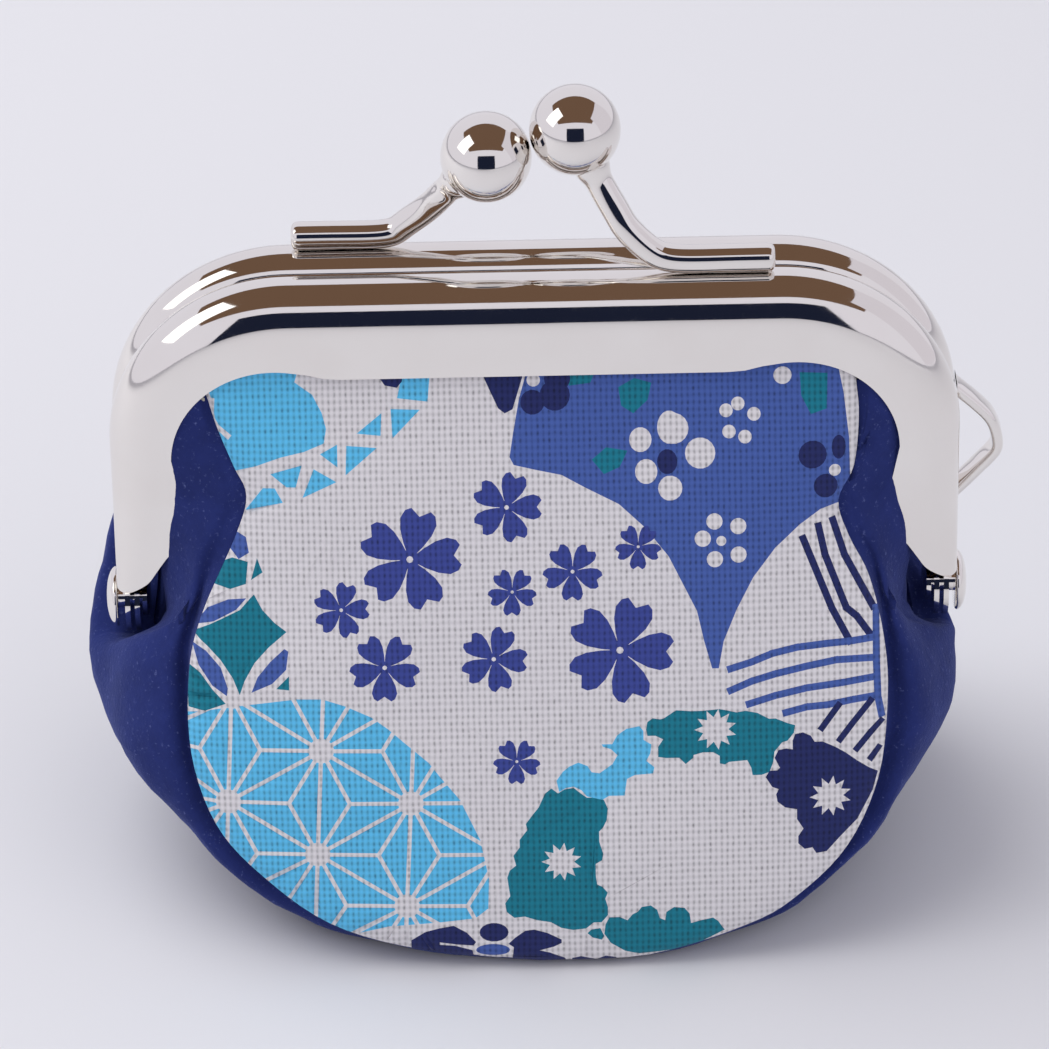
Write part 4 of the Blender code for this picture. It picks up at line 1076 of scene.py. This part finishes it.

# %% [markdown]
# The gusset is one strip of brushed navy cloth between the panels. It lies on the table under the
# bag, swells out beside it, folds in over a soft shelf below each rivet and runs up between the
# frame's legs. Its cross-section is drawn at a few places along the seam and smoothed between them.
# The low part stays with the bag.

# %% Gusset rows
# Each row: seam length from the bottom middle, then (outwards, depth, height) of three places across
GUSSET_ROWS = (
    (0.0, (0.0, 16.5, 0.05), (0.0, 11.0, 0.05), (0.0, 0.0, 0.05)),
    (9.3, (10.5, 16.3, 0.05), (10.8, 11.0, 0.05), (11.0, 0.0, 0.05)),
    (16.5, (17.9, 15.8, 1.2), (19.0, 10.0, 1.1), (19.5, 0.0, 0.9)),
    (23.2, (23.4, 16.0, 5.9), (25.8, 10.0, 4.8), (27.6, 0.0, 4.4)),
    (28.5, (27.0, 14.8, 10.0), (29.6, 10.0, 9.4), (32.3, 0.0, 8.8)),
    (34.3, (29.0, 13.0, 15.6), (32.4, 9.0, 14.2), (34.6, 0.0, 13.5)),
    (40.6, (28.9, 11.0, 21.6), (32.2, 7.5, 18.8), (35.3, 0.0, 16.2)),
    (45.4, (27.5, 9.4, 25.4), (30.9, 6.5, 21.8), (35.0, 0.0, 17.6)),
    (46.5, (27.0, 9.4, 26.2), (29.6, 6.0, 22.4), (33.5, 0.0, 18.2)),
    (49.0, (26.6, 8.4, 28.0), (28.6, 5.0, 23.6), (29.9, 0.0, 18.6)),
    (52.2, (25.5, 7.6, 31.5), (29.0, 4.4, 27.5), (28.6, 0.0, 23.0)),
    (55.4, (24.5, 6.6, 35.0), (29.0, 4.3, 32.0), (28.4, 0.0, 29.0)),
    (57.9, (24.9, 6.0, 37.5), (28.6, 4.3, 36.5), (28.0, 0.0, 34.0)),
    (61.2, (25.4, 5.3, 41.0), (27.6, 4.4, 41.5), (26.8, 0.0, 40.0)),
    (63.7, (25.6, 4.8, 43.6), (26.6, 4.4, 44.5), (25.8, 0.0, 44.0)),
)
ROW_STEPS = 6
SECTION_STEPS = 6
SHELF_ROW = 5
RECESS_ROW = 9
BAG_MIDDLE = Vector((0, 0, 20))
RIGHT_DRAW_IN = (0.0, 0.0, 0.0, 0.4, 1.4, 1.9, 2.2, 2.1, 1.4, 0.4, 0.0, 0.0, 0.0, 0.0, 0.0)
REAR_SWELL = (0.0, 0.0, 0.0, 0.6, 1.6, 2.8, 4.0, 5.0, 4.0, 2.0, 0.0, 0.0, 0.0, 0.0, 0.0)


def seam_place(seam, length):
    """Flat point at a length along the seam."""
    for a, b in zip(seam, seam[1:]):
        run = (b - a).length
        if length <= run:
            return a.lerp(b, length / run)
        length -= run
    return seam[-1].copy()


def gusset_section(side, row):
    """One smooth cross-section from the front seam to the rear seam."""
    seam = seam_left if side < 0 else seam_right
    total = sum((b - a).length for a, b in zip(seam, seam[1:]))
    at = seam_place(seam, min(row[0] / GUSSET_ROWS[-1][0], 1.0) * total)
    first = panel_place(at.x, at.y, 0.0, -1, 0.25)
    fall = -0.25 - 1.1 * (1 - ease((first.z - 1) / 6))
    groove = Vector((side * 0.35, 1.6, fall)) * (1 - ease((first.z - 26) / 8))
    groove += (Vector((side * row[1][0], -row[1][1], row[1][2])) - first) * 0.4 * ease((first.z - 26) / 8)
    knots = [first, first + groove]
    for (out, depth, height), drawn in zip(row[1:4], (0.15, 0.75, 1.0)):
        knots.append(Vector((side * (out - row[4] * drawn if side > 0 else out), -depth, height)))
    swell = row[5] if side < 0 else 0.0
    for knot, share in zip(knots[-2::-1], (0.55, 1.0, 0.0, 0.0)):
        knots.append(Vector((knot.x - swell * share, -knot.y, knot.z)))
    return curve_points(knots, SECTION_STEPS)


def smooth_rows():
    """The key rows smoothed along the strip."""
    flat = []
    for row, drawn, swell in zip(GUSSET_ROWS, RIGHT_DRAW_IN, REAR_SWELL):
        flat.append(Vector((row[0], *row[1], *row[2], *row[3], drawn, swell)))
    rows = []
    for value in curve_points(flat, ROW_STEPS):
        places = [tuple(value[i : i + 3]) for i in (1, 4, 7)]
        rows.append((value[0], *places, value[10], value[11]))
    return rows


def gusset_grid(side):
    """The cross-sections of one side, from the bottom's middle up, with soft creases."""
    grid = []
    for row in smooth_rows():
        section = gusset_section(side, row)
        last = len(section) - 1
        line = []
        for i, point in enumerate(section):
            calm = ease(min(i, last - i) / 5) * ease(point.z / 3)
            point = point + noise.noise_vector(point * 0.16) * 0.5 * calm
            point += noise.noise_vector(point * 0.5) * 0.12 * calm
            point.z = max(point.z, 0.05)
            line.append(point)
        grid.append(line)
    return grid


def grid_piece(lines):
    """Points, faces and flat places of a grid of lines."""
    count = len(lines[0])
    points = [p for line in lines for p in line]
    faces = []
    for i in range(len(lines) - 1):
        for j in range(count - 1):
            a = i * count + j
            faces.append((a, a + 1, a + count + 1, a + count))
    outward = 0.0
    for a, b, c, d in faces:
        normal = (points[c] - points[a]).cross(points[d] - points[b])
        outward += normal.dot(points[a] - BAG_MIDDLE)
    return points, faces if outward > 0 else [face[::-1] for face in faces]


def grid_area(lines):
    """Area of a grid in square metres."""
    area = 0.0
    for above, below in zip(lines, lines[1:]):
        for i in range(len(above) - 1):
            area += geometry.area_tri(above[i], above[i + 1], below[i])
            area += geometry.area_tri(above[i + 1], below[i + 1], below[i])
    return area * MM * MM


def moved_in(lines, distance):
    """The grid moved towards the inside of the bag."""
    result = []
    for line in lines:
        moved = []
        for point in line:
            inside = Vector((point.x * 0.35, point.y * 0.35, 12 if point.z < 22 else point.z * 0.55))
            moved.append(point + (inside - point).normalized() * distance)
        result.append(moved)
    return result


middle = 4 * SECTION_STEPS
leg = 3 * SECTION_STEPS
lap = leg - 4
recess = RECESS_ROW * ROW_STEPS
shelf = SHELF_ROW * ROW_STEPS
left, right = gusset_grid(-1), gusset_grid(1)


def gusset_parts(inset):
    """(name, body, grids) of the strip's parts, as deep inside as the inset."""
    sides = [moved_in(grid, inset) if inset else grid for grid in (left, right)]
    low = sides[0][shelf:0:-1] + sides[1][: shelf + 1]
    parts = [("low", None, [low], "bag")]
    for word, facing in (("front", -1), ("rear", 1)):
        shoulders, throats = [], []
        for grid in sides:
            lines = [line if facing < 0 else line[::-1] for line in grid]
            shoulders.append([line[: middle + 1] for line in lines[shelf : recess + 1]])
            shoulders.append([line[: leg + 1] for line in lines[recess:]])
            throat = [line[lap : middle + 1] for line in lines[recess - 4 :]]
            throats.append(moved_in(throat, 0.3))
        parts.append((word + "_shoulders", word, shoulders, "leg"))
        parts.append((word + "_throats", word, throats, "throat"))
    return parts


# %% [markdown]
# The strip is cut into parts: the low part, which stays with the bag, the shoulders beside the
# legs, and the throats between the legs, which lap a little into the shoulders. The lining is moved
# 1.5 mm inwards.

# %% Make the gusset and its lining
for kind, inset, material, slot, thickness in (("gusset", 0.0, felt, "navy_felt", 0.5),
                                               ("gusset_lining", 1.5, plain, "lining_cotton", 0.3)):
    for name, word, grids, way in gusset_parts(inset):
        points, faces = merge([grid_piece(lines) for lines in grids])
        area = sum(grid_area(lines) for lines in grids)
        flat = [(p.x, p.z + p.y) for p in points]
        cloth = cloth_piece(kind + "_" + name, points, faces, material, flat, None, thickness)
        if way == "bag":
            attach(cloth, "bag")
        elif way == "leg":
            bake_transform(cloth)
        else:
            facing = -1 if word == "front" else 1
            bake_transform(cloth)
        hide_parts(kind)
        print(cloth.name, len(cloth.data.polygons), "faces, area", round(area * 1e4, 1), "cm2")


# %% [markdown]
# A twisted kraft paper cord is pushed into each channel over the cloth's edge and holds it by
# friction. Only its underside can be seen, when the purse is open.

# %% Paper cords
CORD = 1.8
CORD_INSET = 2.3
CORD_DEPTH = 2.7
CORD_END = 7.5


def kraft_material():
    """Brown kraft paper, its twist shown as slanting bands."""
    material, tree, shader = new_material("paper_cord")
    place = add_node(tree, "TexCoord").outputs["Object"]
    twist = add_node(tree, "TexWave", {"Vector": place, "Scale": 260.0, "Distortion": 2.0, "Detail": 2.0},
                     bands_direction="DIAGONAL")
    colour = add_node(tree, "Mix", {"Factor": twist.outputs["Fac"], "A": linear("8a6a45"),
                                    "B": linear("b08c5f")}, data_type="RGBA")
    bump = add_node(tree, "Bump", {"Height": twist.outputs["Fac"], "Strength": 0.5, "Distance": 0.0001})
    feed(tree, shader, {"Base Color": colour.outputs["Result"], "Normal": bump.outputs["Normal"],
                        "Roughness": 0.9})
    return material


kraft = kraft_material()
for word, facing in (("front", -1), ("rear", 1)):
    stations = [station for station in frame_stations() if station[0].y > RIVET + CORD_END]
    line = [place + inward * CORD_INSET for place, inward, _, _ in stations]
    rings = []
    for i, point in enumerate(line):
        run = (line[min(i + 1, len(line) - 1)] - line[max(i - 1, 0)]).normalized()
        ring = []
        for step in range(14):
            angle = 2 * math.pi * step / 14
            side = Vector((-run.y, run.x)) * (CORD / 2 * math.cos(angle))
            depth = CORD_DEPTH + CORD / 2 * math.sin(angle)
            ring.append((point.x + side.x, facing * depth, point.y + side.y))
        rings.append(ring)
    cord = add_piece(word + "_cord", *loft(rings), kraft, sharp=60)
    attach(cord, word + "_half")
    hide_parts(word + "_paper_cord")
    print(cord.name, "length in mm", round(sum((b - a).length for a, b in zip(line, line[1:])), 1))
